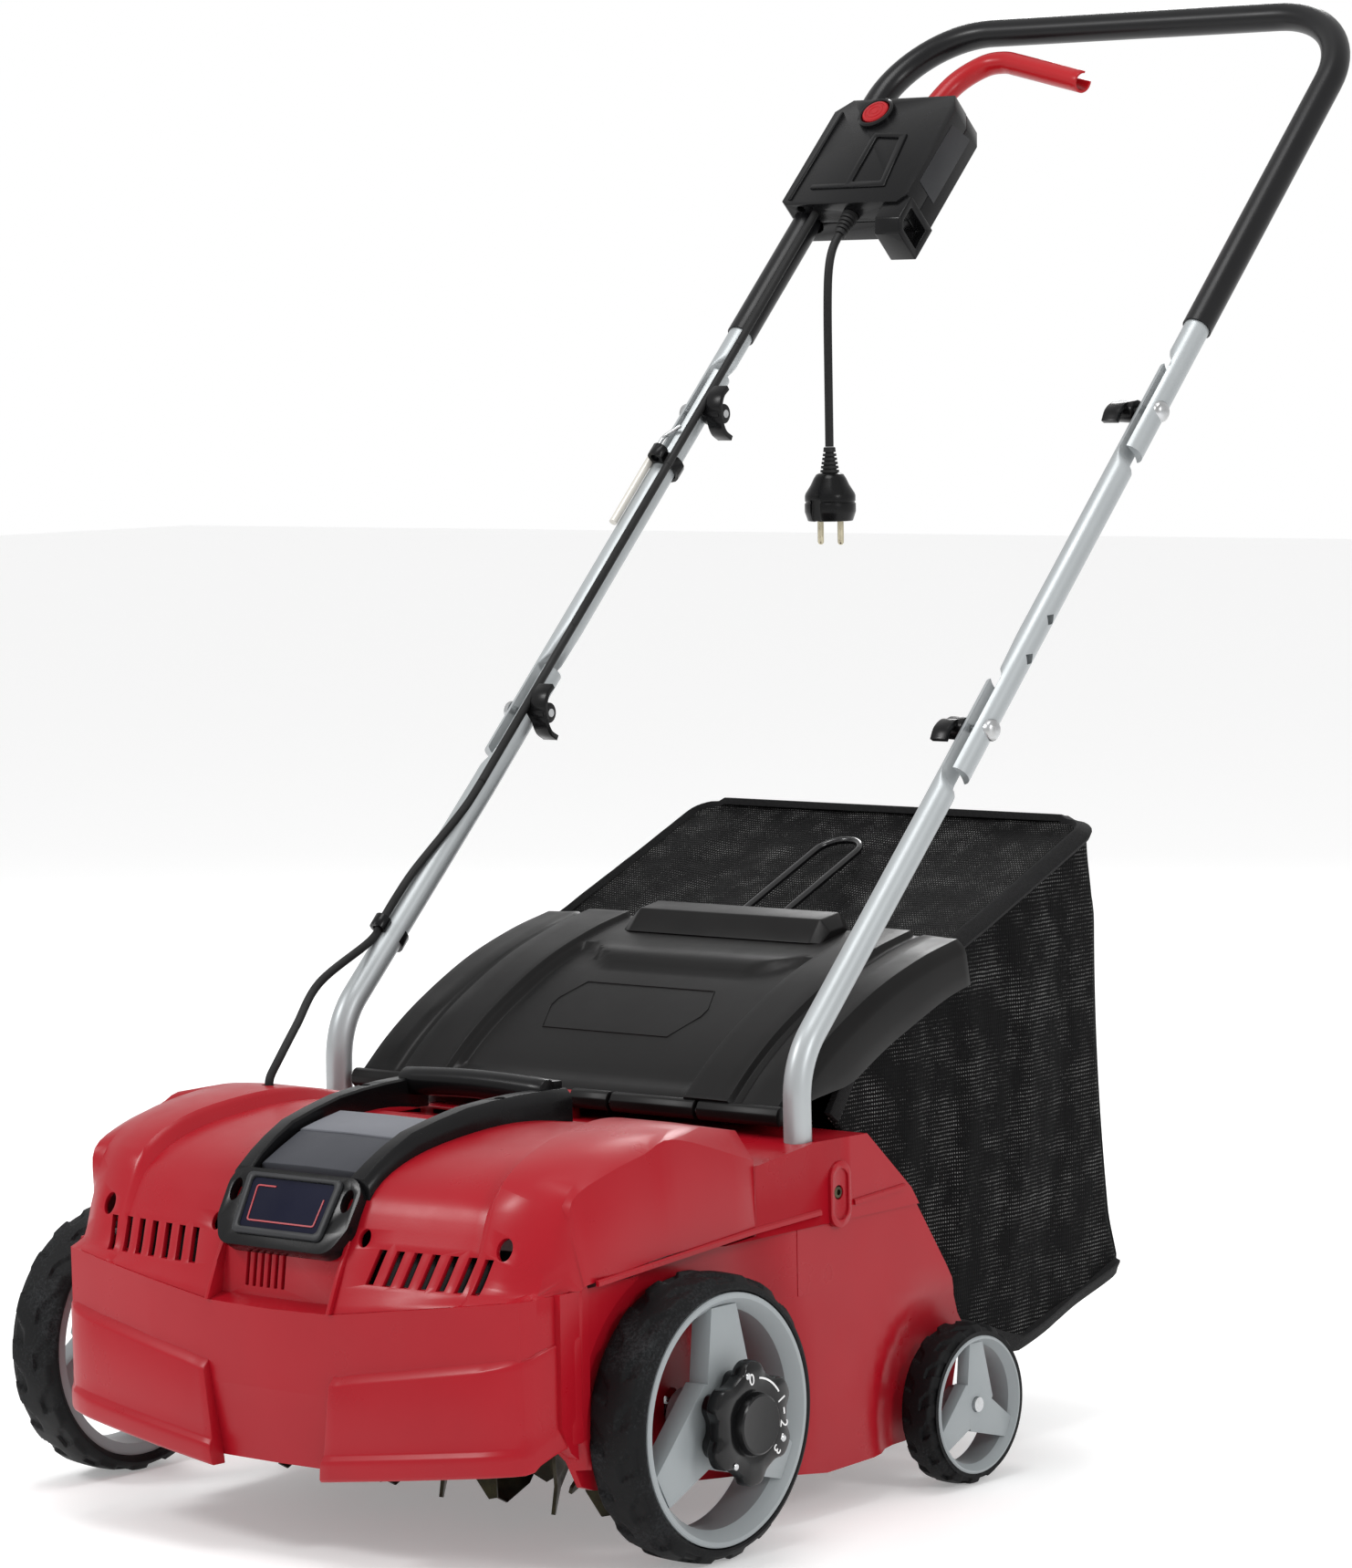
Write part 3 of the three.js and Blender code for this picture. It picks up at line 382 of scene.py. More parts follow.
def spline(points, count):
    """A smooth line through the points, by Catmull-Rom."""
    p = [Vector(q) for q in points]
    p = [2 * p[0] - p[1]] + p + [2 * p[-1] - p[-2]]
    out = []
    spans = len(p) - 3
    for i in range(spans):
        a, b, c, d = p[i:i + 4]
        for k in range(count):
            t = k / count
            out.append(0.5 * (2 * b + (c - a) * t + (2 * a - 5 * b + 4 * c - d) * t * t
                              + (3 * b - a - 3 * c + d) * t ** 3))
    out.append(p[-2])
    return out


def sweep(name, path, profile, first_up=None, closed_profile=True, caps=True, scale=None):
    """Carries a profile (across, up in metres) along a path of points in metres."""
    path = [Vector(p) for p in path]
    tangents = []
    for i in range(len(path)):
        a, b = path[max(i - 1, 0)], path[min(i + 1, len(path) - 1)]
        tangents.append((b - a).normalized())
    up = Vector(first_up or (0, 0, 1))
    if abs(up.dot(tangents[0])) > 0.95:
        up = Vector((1, 0, 0))
    up = (up - tangents[0] * up.dot(tangents[0])).normalized()
    rings = []
    for i, (p, t) in enumerate(zip(path, tangents)):
        if i:
            up = tangents[i - 1].rotation_difference(t) @ up
            up = (up - t * up.dot(t)).normalized()
        across = t.cross(up)
        size = scale(i / (len(path) - 1)) if scale else 1
        rings.append([p + across * u * size + up * v * size for u, v in profile])
    return loft(name, rings, closed_profile, caps)


def circle(radius, sides):
    turns = [2 * math.pi * k / sides for k in range(sides)]
    return [(radius * math.cos(a), radius * math.sin(a)) for a in turns]


def ring_loft(name, rings):
    """Quads between rings that run round an axis, the last ring joined to the first."""
    count, sides = len(rings[0]), len(rings)
    faces = []
    for i in range(sides):
        j = (i + 1) % sides
        for a in range(count):
            b = (a + 1) % count
            faces.append((i * count + a, i * count + b, j * count + b, j * count + a))
    return face_out(raw(name, [p for ring in rings for p in ring], faces))


def tube(name, path, radius, sides=24):
    """A round tube along a path in metres, radius in mm."""
    return sweep(name, path, circle(radius / 1000, sides))


def lathe(name, profile, place, sides=48):
    """Turns a profile of (out, radius) round an axis. place(out, a, b) gives the point."""
    return loft(name, [[place(out, a, b) for a, b in circle(radius, sides)] for out, radius in profile])


def bake(obj):
    mesh = bpy.data.meshes.new_from_object(obj.evaluated_get(bpy.context.evaluated_depsgraph_get()))
    obj.modifiers.clear()
    obj.data = mesh
    return obj


def combine(obj, other, operation):
    modifier = obj.modifiers.new("boolean", "BOOLEAN")
    modifier.operation = operation
    modifier.solver = "EXACT"
    modifier.object = other
    bake(obj)
    bpy.data.objects.remove(other)
    return obj


def cut(obj, *tools):
    for tool in tools:
        combine(obj, tool, "DIFFERENCE")
    return obj


def join(obj, *others):
    for other in others:
        combine(obj, other, "UNION")
    return obj


def face_up(obj):
    """Turns an open skin so that it faces upward."""
    if sum(p.normal.z * p.area for p in obj.data.polygons) < 0:
        obj.data.flip_normals()


def thicken(obj, thickness):
    """Gives a skin its thickness, in mm, inwards."""
    modifier = obj.modifiers.new("thick", "SOLIDIFY")
    modifier.thickness = thickness / 1000
    modifier.offset = -1
    modifier.use_even_offset = True
    return bake(obj)


def soften(obj, width, segments=2, angle=30):
    """Rounds the edges sharper than angle by width, in mm."""
    modifier = obj.modifiers.new("bevel", "BEVEL")
    modifier.width = width / 1000
    modifier.segments = segments
    modifier.limit_method = "ANGLE"
    modifier.angle_limit = math.radians(angle)
    modifier.miter_outer = "MITER_ARC"
    return bake(obj)


def clean(obj, angle=0.6):
    """Merges the flat triangles of a carried-over mesh."""
    work = bmesh.new()
    work.from_mesh(obj.data)
    bmesh.ops.remove_doubles(work, verts=work.verts, dist=2e-6)
    bmesh.ops.dissolve_limit(work, angle_limit=math.radians(angle), verts=work.verts, edges=work.edges)
    work.to_mesh(obj.data)
    work.free()
    return obj


def copy_of(node, name):
    """A new piece with the CAD node's mesh, to refine."""
    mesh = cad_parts[node].data.copy()
    mesh.materials.clear()
    obj = bpy.data.objects.new(name, mesh)
    bpy.context.collection.objects.link(obj)
    return clean(obj)


def keep(obj, body, material, slot, *nodes, smooth=32):
    """Gives a finished piece its material and shading, puts it on its body and hides the CAD nodes it stands for.
    The slot argument is not used.
    """
    obj.data.materials.clear()
    obj.data.materials.append(material)
    obj.data.polygons.foreach_set("use_smooth", [True] * len(obj.data.polygons))
    obj.data.set_sharp_from_angle(angle=math.radians(smooth))
    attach(obj, body)
    if nodes:
        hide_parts(*nodes)
    return obj


def red_part(obj, *nodes, smooth=32):
    return keep(obj, "chassis", RED, "red_plastic", *nodes, smooth=smooth)


def black_part(obj, body, *nodes, smooth=32):
    return keep(obj, body, BLACK, "black_plastic", *nodes, smooth=smooth)


def paint(node, material):
    """Gives a carried-over CAD node its material."""
    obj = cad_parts[node]
    if not obj.material_slots:
        obj.data.materials.append(material)
    for place in obj.material_slots:
        place.material = material
    obj.data.polygons.foreach_set("use_smooth", [True] * len(obj.data.polygons))
    obj.data.set_sharp_from_angle(angle=math.radians(32))


def clamp(value, low=0.0, high=1.0):
    return max(low, min(high, value))


def ramp(value, start, end):
    t = clamp((value - start) / (end - start))
    return t * t * (3 - 2 * t)


def steps(low, high, count):
    return [low + (high - low) * i / count for i in range(count + 1)]


def polyline(points, t):
    """The point at share t of a polyline's length, and the unit normal that points to its left."""
    lengths = [math.dist(a, b) for a, b in zip(points, points[1:])]
    goal = t * sum(lengths)
    for a, b, length in zip(points, points[1:], lengths):
        if goal <= length or b is points[-1]:
            k = min(goal / length, 1)
            u = ((b[0] - a[0]) / length, (b[1] - a[1]) / length)
            return (a[0] + (b[0] - a[0]) * k, a[1] + (b[1] - a[1]) * k), (-u[1], u[0])
        goal -= length


# ---------- mains lead and plug ----------
LEAD_STEPS = [(0, 0), (-4, -4.2), (-7.6, -9), (-10.6, -15), (-12.8, -22), (-14.4, -31), (-15.3, -42),
              (-15.8, -56), (-16, -72), (-16, -90), (-16, -110), (-16, -130), (-16, -148), (-16, -160)]
LEAD_DIAMETER = 0.0065
RELIEF_X, RELIEF_S, RELIEF_N = -160, 476, 7
LEAD_START = along(RELIEF_X, RELIEF_S - 0.3, RELIEF_N)


def make_mains_lead():
    data = bpy.data.curves.new("mains_lead_cord", "CURVE")
    data.dimensions = "3D"
    data.bevel_depth = LEAD_DIAMETER / 2
    data.bevel_resolution = 6
    data.use_fill_caps = True
    line = spline([LEAD_START + Vector((0, dy / 1000, dz / 1000)) for dy, dz in LEAD_STEPS], 2)
    run = data.splines.new("POLY")
    run.points.add(len(line) - 1)
    for point, place in zip(run.points, line):
        point.co = (*place, 1)
    data.materials.append(CABLE)
    lead = bpy.data.objects.new("mains_lead_cord", data)
    bpy.context.collection.objects.link(lead)
    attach(lead, "top_handle")
    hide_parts("mains_lead")
    return lead, line[-1]


def make_plug(top):
    def place(out, a, b):
        return top + Vector((a, b, -out)) / 1000

    ribs = []
    for i in range(7):
        start = 2 + i * 3.1
        radius = 4.6 + i * 0.5
        ribs += [(start, radius), (start + 1.9, radius + 0.2), (start + 2.2, radius - 1.3),
                 (start + 3.0, radius - 1.3)]
    collar = [(0.3, 0.2), (0.3, 4.2), (1.2, 4.6)] + ribs + [(25, 9), (25, 0.2)]
    sleeve = keep(lathe("plug_sleeve", collar, place, 32), "top_handle", CABLE, "cable_rubber")
    body = lathe("plug_body", [
        (20, 0.2), (20, 8.5), (21, 10.5), (24, 12.4), (29, 14.8), (35, 18.6), (37, 19.3), (41, 19.3),
        (41.6, 18.7), (42.4, 18.7), (43, 19.5), (49, 19.5), (50, 19.2), (56, 17.2), (56.4, 16.4), (54.4, 15.2),
        (54.4, 0.2)], place, 48)
    rim_cuts = []
    for side in (-1, 1):
        outline = rounded([(-4.6, -2.6), (4.6, -2.6), (4.6, 2.6), (-4.6, 2.6)], 1.6, 3)
        rim_cuts.append(prism(f"notch_{side}", [tuple(p) for p in outline], 40, 60,
                              lambda u, v, w, s=side: top + Vector((u, s * 18.8 + v, -w)) / 1000))
    cut(body, *rim_cuts)
    soften(body, 0.5, 2, 40)
    keep(body, "top_handle", BLACK, "cable_rubber", "mains_plug")
    pins = []
    for side, name in ((-1, "a"), (1, "b")):
        pin = lathe(f"plug_pin_{name}", [(52, 0.1), (52, 2.4), (72.4, 2.4), (73.6, 1.9), (74.3, 1.0), (74.4, 0.1)],
                    lambda out, a, b, s=side: place(out, a + s * 9.5, b), 20)
        pins.append(keep(pin, "top_handle", BRASS, "steel"))
    clips = lathe("plug_socket", [(53, 0.1), (53, 3.4), (55, 3.4), (55, 0.1)], place, 20)
    keep(clips, "top_handle", BRASS, "steel")
    return [sleeve, body, clips] + pins


def make_relief():
    def place(out, a, b):
        return along(RELIEF_X + a, RELIEF_S + out, RELIEF_N + b)

    profile = [(0, 3.3), (0, 4.4)]
    for i in range(5):
        start, radius = 1 + i * 3.4, 4.7 + i * 0.42
        profile += [(start, radius), (start + 2.1, radius + 0.2), (start + 2.4, radius - 1.0),
                    (start + 3.2, radius - 1)]
    profile += [(18.5, 6.6), (20.7, 6.6), (20.7, 4.1), (29, 4.1), (29, 3.3)]
    sleeve = lathe("relief_sleeve", profile, place, 32)
    return keep(sleeve, "top_handle", CABLE, "cable_rubber", "strain_relief")


lead, lead_end = make_mains_lead()
plug_pieces = make_plug(lead_end)
relief = make_relief()


# ---------- red housing ----------
BODY_HALF = 216
FRONT_Y = -157
BOW = 24


def front_bow(x):
    return BOW * (x / BODY_HALF) ** 2


def seam_height(x):
    """The front joint between hood and bumper climbs towards the sides."""
    return 162 + 20 * clamp((abs(x) - 48) / 150)


def side_swell(y, z):
    """How far the lower side wall stands out beside the wheels, in mm."""
    front = ramp(math.hypot(y, z - 92), 98, 130)
    rear = ramp(math.hypot(y - 285, z - 54.4), 58, 88)
    return 11.5 * front * rear * ramp(y, 70, 110)


def make_deck():
    """The housing, with its bumper's corners turned in towards the wheels and its side walls swelled."""
    deck = copy_of("deck_shell", "deck")
    work = bmesh.new()
    work.from_mesh(deck.data)
    corner_cuts = (-212, -206, -200, -194, -188, -120, 120, 188, 194, 200, 206, 212)
    for axis, places in (((0, 1, 0), range(-150, 300, 12)), ((0, 0, 1), range(40, 205, 14)),
                         ((1, 0, 0), corner_cuts)):
        for place in places:
            geometry = work.verts[:] + work.edges[:] + work.faces[:]
            spot = at(*(place * share for share in axis))
            bmesh.ops.bisect_plane(work, geom=geometry, plane_co=spot, plane_no=axis)
    work.to_mesh(deck.data)
    work.free()
    origin = at(0, 0, 0)
    for vertex in deck.data.vertices:
        x, y, z = (vertex.co - origin) * 1000
        front = ramp(-y, 86, 112)
        if z > 150:
            z += front * (seam_height(x) - 164)
        if front > 0:
            lowest = 60 + 17 * clamp((abs(x) - 46) / 150) + 13 * ramp(abs(x), 192, 202)
            z = max(z, lowest) * front + z * (1 - front)
        if abs(x) > 194 and y < -83.9:
            t = (abs(x) - 194) / 22
            turned_x = 194 + 20 * t if t < 0.25 else 199 + 12 * (t - 0.25)
            turned_y = -134 + 24 * t if t < 0.25 else -128 + 45 * (t - 0.25)
            face = -157 + front_bow(x)
            y = turned_y + (max(y, face) - face) * (-84 - turned_y) / (-84 - face)
            ease = 1 if abs(x) > 204 else 1 - ramp(y, -92, -84)
            x = math.copysign(abs(x) + (turned_x - abs(x)) * ease, x)
        if 199 < abs(x) < 204 and 70 < y and z < 206:
            x += math.copysign(side_swell(y, z), x)
        vertex.co = at(x, y, z)
    soften(deck, 1.1, 2, 34)
    arch = [(99 * math.cos(a), 92 + 99 * math.sin(a)) for a in steps(math.radians(112), math.radians(188), 20)]
    outline = [(-38, 185.5), *arch, (-106, 84), (-114, 100), (-114, 184)]
    for name, side in SIDES:
        wall = prism(f"bumper_return_{name}", outline, side * 196, side * 207.6, side_view)
        red_part(wall)
        plug = block(f"deck_fill_{name}", (side * 188, 118, 150), (side * 213.9, 154, 206))
        red_part(plug)
    return red_part(deck, "deck_shell", smooth=24)


def plan_line(side):
    """Plan of the bumper's cheek from its inner edge round the corner: place and outward direction."""
    spots = [(x, FRONT_Y + 2 + front_bow(x)) for x in steps(46, 188, 16)]
    spots += [(194, -134), (197.5, -129.8), (199.2, -127), (201.7, -117.5), (204.6, -106.5), (207.5, -95)]
    line = []
    for i, (x, y) in enumerate(spots):
        a, b = spots[max(i - 1, 0)], spots[min(i + 1, len(spots) - 1)]
        length = math.dist(a, b)
        out = ((b[1] - a[1]) / length, -(b[0] - a[0]) / length)
        line.append((side * x, y, side * out[0], out[1], i / (len(spots) - 1)))
    return line


def make_cheek(side, name):
    """The raised lower cheek of the bumper, with a ledge above it and a rolled lip below."""
    rings = []
    for x, y, nx, ny, t in plan_line(side):
        ledge = 119 + 24 * clamp((abs(x) - 54) / 150) + 8 * ramp(t, 0.8, 1)
        bottom = 56 + 19 * clamp((abs(x) - 46) / 160) + 14 * ramp(t, 0.78, 1)
        thin = 1 - 0.75 * ramp(t, 0.62, 0.86)
        lean = lambda z: (z - 110) * 0.02
        band = [(-3, ledge + 6), (0.3, ledge + 5), (5.2 * thin, ledge + 5 - 5 * thin), (6.0 * thin, ledge - 2),
                (6.0 * thin, bottom + 26), (6.3 * thin, bottom + 17), (9 * thin, bottom + 13.5),
                (9.6 * thin, bottom + 10), (9.2 * thin, bottom + 2), (7.6 * thin, bottom), (-3, bottom)]
        end = lambda z: side * 8 * clamp((z - 56) / 64) * (1 - clamp(t / 0.12))
        rings.append([at(x + end(z) + nx * d, y + ny * (d + lean(z)), z) for d, z in band])
    cheek = loft(name, rings)
    soften(cheek, 0.8, 2, 24)
    return red_part(cheek, smooth=28)


# Rows from the front seam over the top to the rear seam, and columns from the middle to the side.
HOOD_ROWS = [(-156, 162), (-147, 186), (-136, 209), (-119, 237), (-84, 254), (-30, 263), (20, 265),
             (72.2, 259)]
STEP_X = [152, 152, 152, 149, 145, 138, 131, 128]
CREASE_X = [197, 197, 198, 199, 199, 198, 198, 198]
SIDE_TOP = [(206, -104, 184.5), (206, -103, 197), (206.5, -102, 215), (207, -100, 241), (210, -70, 254),
            (211, -34, 262), (212, -4, 268), (214.5, 72.2, 245)]
SIDE_LOW = [(209, -97, 184.5), (210, -96, 185), (211, -95, 186), (213, -93, 188), (216, -70, 191),
            (216, -34, 195), (216, -4, 197), (216, 72.2, 199.5)]
SHOULDER = [0, 1, 6, 9, 9.5, 9, 8, 5]
SUNK = [0, -1.5, -0.5, 0.3, 0.6, 0.8, 0.6, 0]
CREASE_BACK = [6, 6, 5, 4, 3, 3, 3, 3]


def hood_point(row, x, lift=0.0, y_shift=0.0):
    y, z = HOOD_ROWS[row]
    if row == 0:
        z = seam_height(x) + 0.4
    fade = clamp((40 - y) / 100)
    return (x, y + front_bow(x) * fade + y_shift, z + lift)


def hood_columns(row):
    """Half a row, from the middle outwards."""
    inner, crease, shoulder, sunk = STEP_X[row], CREASE_X[row], SHOULDER[row], SUNK[row]
    spots = [(x, sunk) for x in (0, 28, 56, 88, 120, inner - 7)]
    spots += [(inner - 1, sunk - 1.2), (inner + 2.5, shoulder * 0.65), (inner + 6, shoulder),
              ((inner + crease) / 2 + 8, shoulder), (crease, shoulder * 0.75, CREASE_BACK[row])]
    return [hood_point(row, *spot) for spot in spots] + [SIDE_TOP[row], SIDE_LOW[row]]


def smooth_rows(rows, count):
    """More rows, on smooth lines through the given ones."""
    columns = [spline([Vector(r[c]) for r in rows], count) for c in range(len(rows[0]))]
    return [[column[i] for column in columns] for i in range(len(columns[0]))]


def hole_tool(name, centre, direction, radius, depth, stretch=1.0, sides=32):
    """A rod that cuts a round or oval hole."""
    direction = Vector(direction).normalized()
    level = direction.cross(Vector((0, 0, 1))).normalized()
    upright = level.cross(direction)
    rings = []
    for w in (-depth, depth):
        rings.append([Vector(centre) + (direction * w + level * a + upright * b * stretch) / 1000
                      for a, b in circle(radius, sides)])
    return loft(name, rings)


def block(name, low, high, place=at):
    (x0, y0, z0), (x1, y1, z1) = low, high
    ring = lambda z: [place(x0, y0, z), place(x1, y0, z), place(x1, y1, z), place(x0, y1, z)]
    return loft(name, [ring(z0), ring(z1)])


TRAY_INSIDE = [(-50, 6), (50, 6), (50, 56), (-50, 56)]


def make_hood():
    rows = []
    for row in range(len(HOOD_ROWS)):
        half = hood_columns(row)
        rows.append([(-x, y, z) for x, y, z in half[:0:-1]] + half)
    rows = smooth_rows(rows, 4)
    hood = loft("hood_shell", [[at(*p) for p in row] for row in rows], closed=False, caps=False)
    face_up(hood)
    thicken(hood, 3.4)
    tools = []
    for _, side in SIDES:
        for i in range(7):
            x = side * (79 + i * 13.5)
            lean = side * 2.2
            slot = [(x - 3.1 - lean, 182.5), (x + 3.1 - lean, 182.5), (x + 3.1 + lean, 204), (x - 3.1 + lean, 204)]
            tools.append(prism(f"vent_tool_{side}_{i}", slot, -175, -100, front_view))
        for x, z, r in ((171, 207, 5.6), (64, 207, 4.6)):
            spot = at(side * x, -128 + front_bow(x), z)
            tools.append(hole_tool("screw_tool", spot, (0, -1, 0.35), r, 30, 1.35))
    tools.append(hole_tool("cable_tool", at(-158, 18, 269), (0.02, -0.2, 1), 4.4, 20))
    cut(hood, *tools)
    cut(hood, prism("recess_tool", [(-52, 150), (52, 150), (50, 212), (-50, 212)], -190, -131, front_view))
    cut(hood, prism("tray_tool", rounded(TRAY_INSIDE, 6, 4), 250, 300, at))
    soften(hood, 0.7, 2, 30)
    return red_part(hood, "hood", smooth=26)


def make_hood_insets():
    """What shows through the hood's openings: the set-back middle panel, the tray, and black liners behind the
    vents and slots, which stand partly for the dark mesh behind the vents and partly as painted shade inside the
    housing.
    """
    face = [(-54, 160), (54, 160), (52, 214), (-52, 214)]
    panel = prism("middle_panel", face, -144, -139, lambda u, v, w: at(u, w + (v - 160) * 0.14, v), 1)
    slots = [block(f"slot_tool_{i}", (-32 + i * 6.2, -170, 172), (-29.4 + i * 6.2, -120, 197)) for i in range(6)]
    cut(panel, *slots)
    for _, side in SIDES:
        cheek = prism(f"recess_cheek_{side}", [(-158, 163), (-148, 186), (-136, 209), (-128, 209), (-134, 163)],
                      side * 51, side * 54, side_view)
        join(panel, cheek)
    soften(panel, 0.6, 2, 30)
    red_part(panel)
    bottom, wall = 247, 2.4
    outer = rounded([(-52, 4), (52, 4), (52, 58), (-52, 58)], 7, 4)
    inner = rounded(TRAY_INSIDE, 6, 4)
    tray = cut(prism("tray", outer, bottom, 262.5, at), prism("tray_inside", inner, bottom + wall, 280, at))
    soften(tray, 0.6, 2, 30)
    red_part(tray)
    # Black liners: partly the dark mesh behind the vents, partly painted shade inside the housing.
    for name, side in SIDES:
        x0, x1 = sorted((side * 70, side * 168))
        liner = prism(f"vent_shade_liner_{name}", [(-138, 180), (-126, 207), (-122, 207), (-134, 180)], x0, x1,
                      lambda u, v, w: at(w, u + front_bow(w), v), 6)
        black_part(liner, "chassis")
    # A black liner behind the middle panel's slots, as painted shade inside the housing.
    black_part(prism("slot_shade_liner", [(-131, 166), (-127, 200), (-124, 200), (-128, 166)], -42, 12, side_view),
         "chassis")


RAIL_PROFILE = [(-0.0012, -0.0018), (0.0014, -0.0018), (0.0014, 0.0008), (0.0004, 0.002), (-0.0012, 0.002)]


def make_side_details():
    """Ledge ribs along the deck's side, the screw boss and its screw."""
    for name, side in SIDES:
        for piece, run in ((f"side_rail_{name}", ((-88, 188.5), (-60, 190.5), (71, 199.8), (140, 202.6))),
                           (f"side_rail_rear_{name}", ((176, 204.4), (200, 205.8), (232, 207.6)))):
            rail = sweep(piece, [at(side * 216.3, y, z) for y, z in run], RAIL_PROFILE)
            red_part(rail)
        oval = [(160 + 11 * math.cos(a), 213 + 11 * math.sin(a) + (10 if math.sin(a) > 0 else -12))
                for a in steps(0, 2 * math.pi, 36)[:-1]]
        inner = [(160 + 8 * math.cos(a), 213 + 8 * math.sin(a) + (8 if math.sin(a) > 0 else -10))
                 for a in steps(0, 2 * math.pi, 36)[:-1]]
        boss = prism(f"screw_boss_{name}", oval, side * 214, side * 218.4, side_view)
        cut(boss, prism("boss_tool", inner, side * 216.4, side * 225, side_view))
        cut(boss, hole_tool("boss_hole", at(side * 216, 160, 213), (side, 0.001, 0), 4.7, 10))
        soften(boss, 0.7, 2, 30)
        red_part(boss)
        place = lambda out, a, b, s=side: at(s * out, 160 + a, 213 + b)
        head = lathe(f"deck_screw_head_{name}", [(210, 0.1), (210, 4.3), (215.2, 4.3), (216, 3.6), (216.2, 2.0),
                                                 (214.4, 1.7), (214.4, 0.1)], place, 28)
        keep(head, "chassis", DARK_STEEL, "steel", f"deck_screw_{name}")


make_deck()
for side_name, side_sign in SIDES:
    make_cheek(side_sign, f"bumper_cheek_{side_name}")
make_hood()
make_hood_insets()
make_side_details()


# ---------- carry handle ----------
def splay(x, y):
    """The arms spread apart towards the rear."""
    return x + math.copysign(min(abs(x) / 40, 1) * 12 * clamp((y + 120) / 180), x)


def front_plate(x, t, d):
    """A point on the handle's slanted front plate: across, up the slant and out of it."""
    y, z = -141 + 0.518 * t - 0.856 * d, 200 + 0.856 * t + 0.518 * d
    return at(splay(x, y), y + front_bow(x), z)


def make_carry_handle():
    body = prism("carry_plate", rounded([(-47, -6), (47, -6), (56, 12), (57, 47), (-57, 47), (-56, 12)], 13, 6),
                 -2, 9.5, front_plate)
    frame_out = rounded([(-38, 2), (38, 2), (41, 44), (-41, 44)], 4, 3)
    frame_in = rounded([(-34, 6.5), (34, 6.5), (36, 41), (-36, 41)], 3, 3)
    trim = prism("badge_trim", frame_out, 5, 11.6, front_plate)
    cut(trim, prism("trim_hole", frame_in, 3, 20, front_plate))
    keep(soften(trim, 0.9, 2, 30), "chassis", DARK_GREY, "black_plastic")
    cut(body, prism("badge_hole", frame_in, 8.6, 20, front_plate))
    for _, side in SIDES:
        oval = [(side * 48 + 4.6 * math.cos(a), 31 + 8 * math.sin(a)) for a in steps(0, 2 * math.pi, 28)[:-1]]
        cut(body, prism("plate_hole", oval, 0.5, 20, front_plate))
    soften(body, 1.1, 3, 30)
    black_part(body, "chassis", "carry_handle")
    spine = [(-124, 234), (-112, 241.5), (-98, 248.5), (-80, 256), (-56, 261.2), (-30, 266), (-6, 268.3),
             (20, 270), (44, 270.8), (64, 271)]
    for name, side in SIDES:
        rings = []
        for i, (y, z) in enumerate(spine):
            t = i / (len(spine) - 1)
            rise = 11 + 2.5 * math.sin(math.pi * t)
            inner, outer = 43 if t > 0 else 42, 57.5
            foot = z - (4 if y < -20 else 4 + 22 * ramp(y, -20, 30))
            ring = [(inner, foot), (inner, z + rise - 1.5), (inner + 1.5, z + rise), (outer - 3.5, z + rise),
                    (outer, z + rise - 3.5), (outer + 1.5, z + rise - 8), (outer + 1.5, foot)]
            rings.append([at(splay(side * x, y), y + front_bow(x) * clamp((40 - y) / 100), h) for x, h in ring])
        arm = loft(f"carry_arm_{name}", rings)
        hole = hole_tool("arm_hole", at(side * splay(50.5, 5), 5, 282), (0, 0.001, 1), 3.7, 4.2)
        cut(arm, hole)
        soften(arm, 1.0, 3, 30)
        black_part(arm, "chassis")
    grip = [(9.5 * math.cos(a) * 0.95, 9.5 * math.sin(a)) for a in steps(math.radians(200), math.radians(520), 20)]
    ring = [(50 + u, 279.5 + v) for u, v in grip]
    bar = prism("carry_bar", ring, -62, 62, lambda u, v, w: at(w, u, v + 2.2 * math.cos(math.pi * w / 124)), 10)
    soften(bar, 0.8, 2, 40)
    black_part(bar, "chassis")
    flange = prism("carry_flange", rounded([(40, 276), (61, 276), (62, 286.5), (44, 287.5)], 1.6, 3), -61, 61,
                   lambda u, v, w: at(w, u + 4, v + 2.0 * math.cos(math.pi * w / 124)), 10)
    soften(flange, 0.6, 2, 40)
    black_part(flange, "chassis")


def make_badge():
    field = rounded([(-33.6, 6.9), (33.6, 6.9), (35.6, 40.6), (-35.6, 40.6)], 2.6, 3)
    keep(prism("badge", field, 8.4, 9.6, front_plate), "chassis", NAVY, "badge", "badge_plate")
    outer = rounded([(-29, 11), (29, 11), (30.5, 36), (-30.5, 36)], 2, 3)
    inner = rounded([(-28, 12), (28, 12), (29.5, 35), (-29.5, 35)], 1.4, 3)
    line = prism("badge_border", outer, 9.2, 9.95, front_plate)
    cut(line, prism("badge_border_tool", inner, 9, 12, front_plate))
    cut(line, prism("badge_gap_tool", [(-14, 30), (40, 30), (40, 40), (-14, 40)], 9, 12, front_plate))
    keep(line, "chassis", BADGE_LINE, "badge")


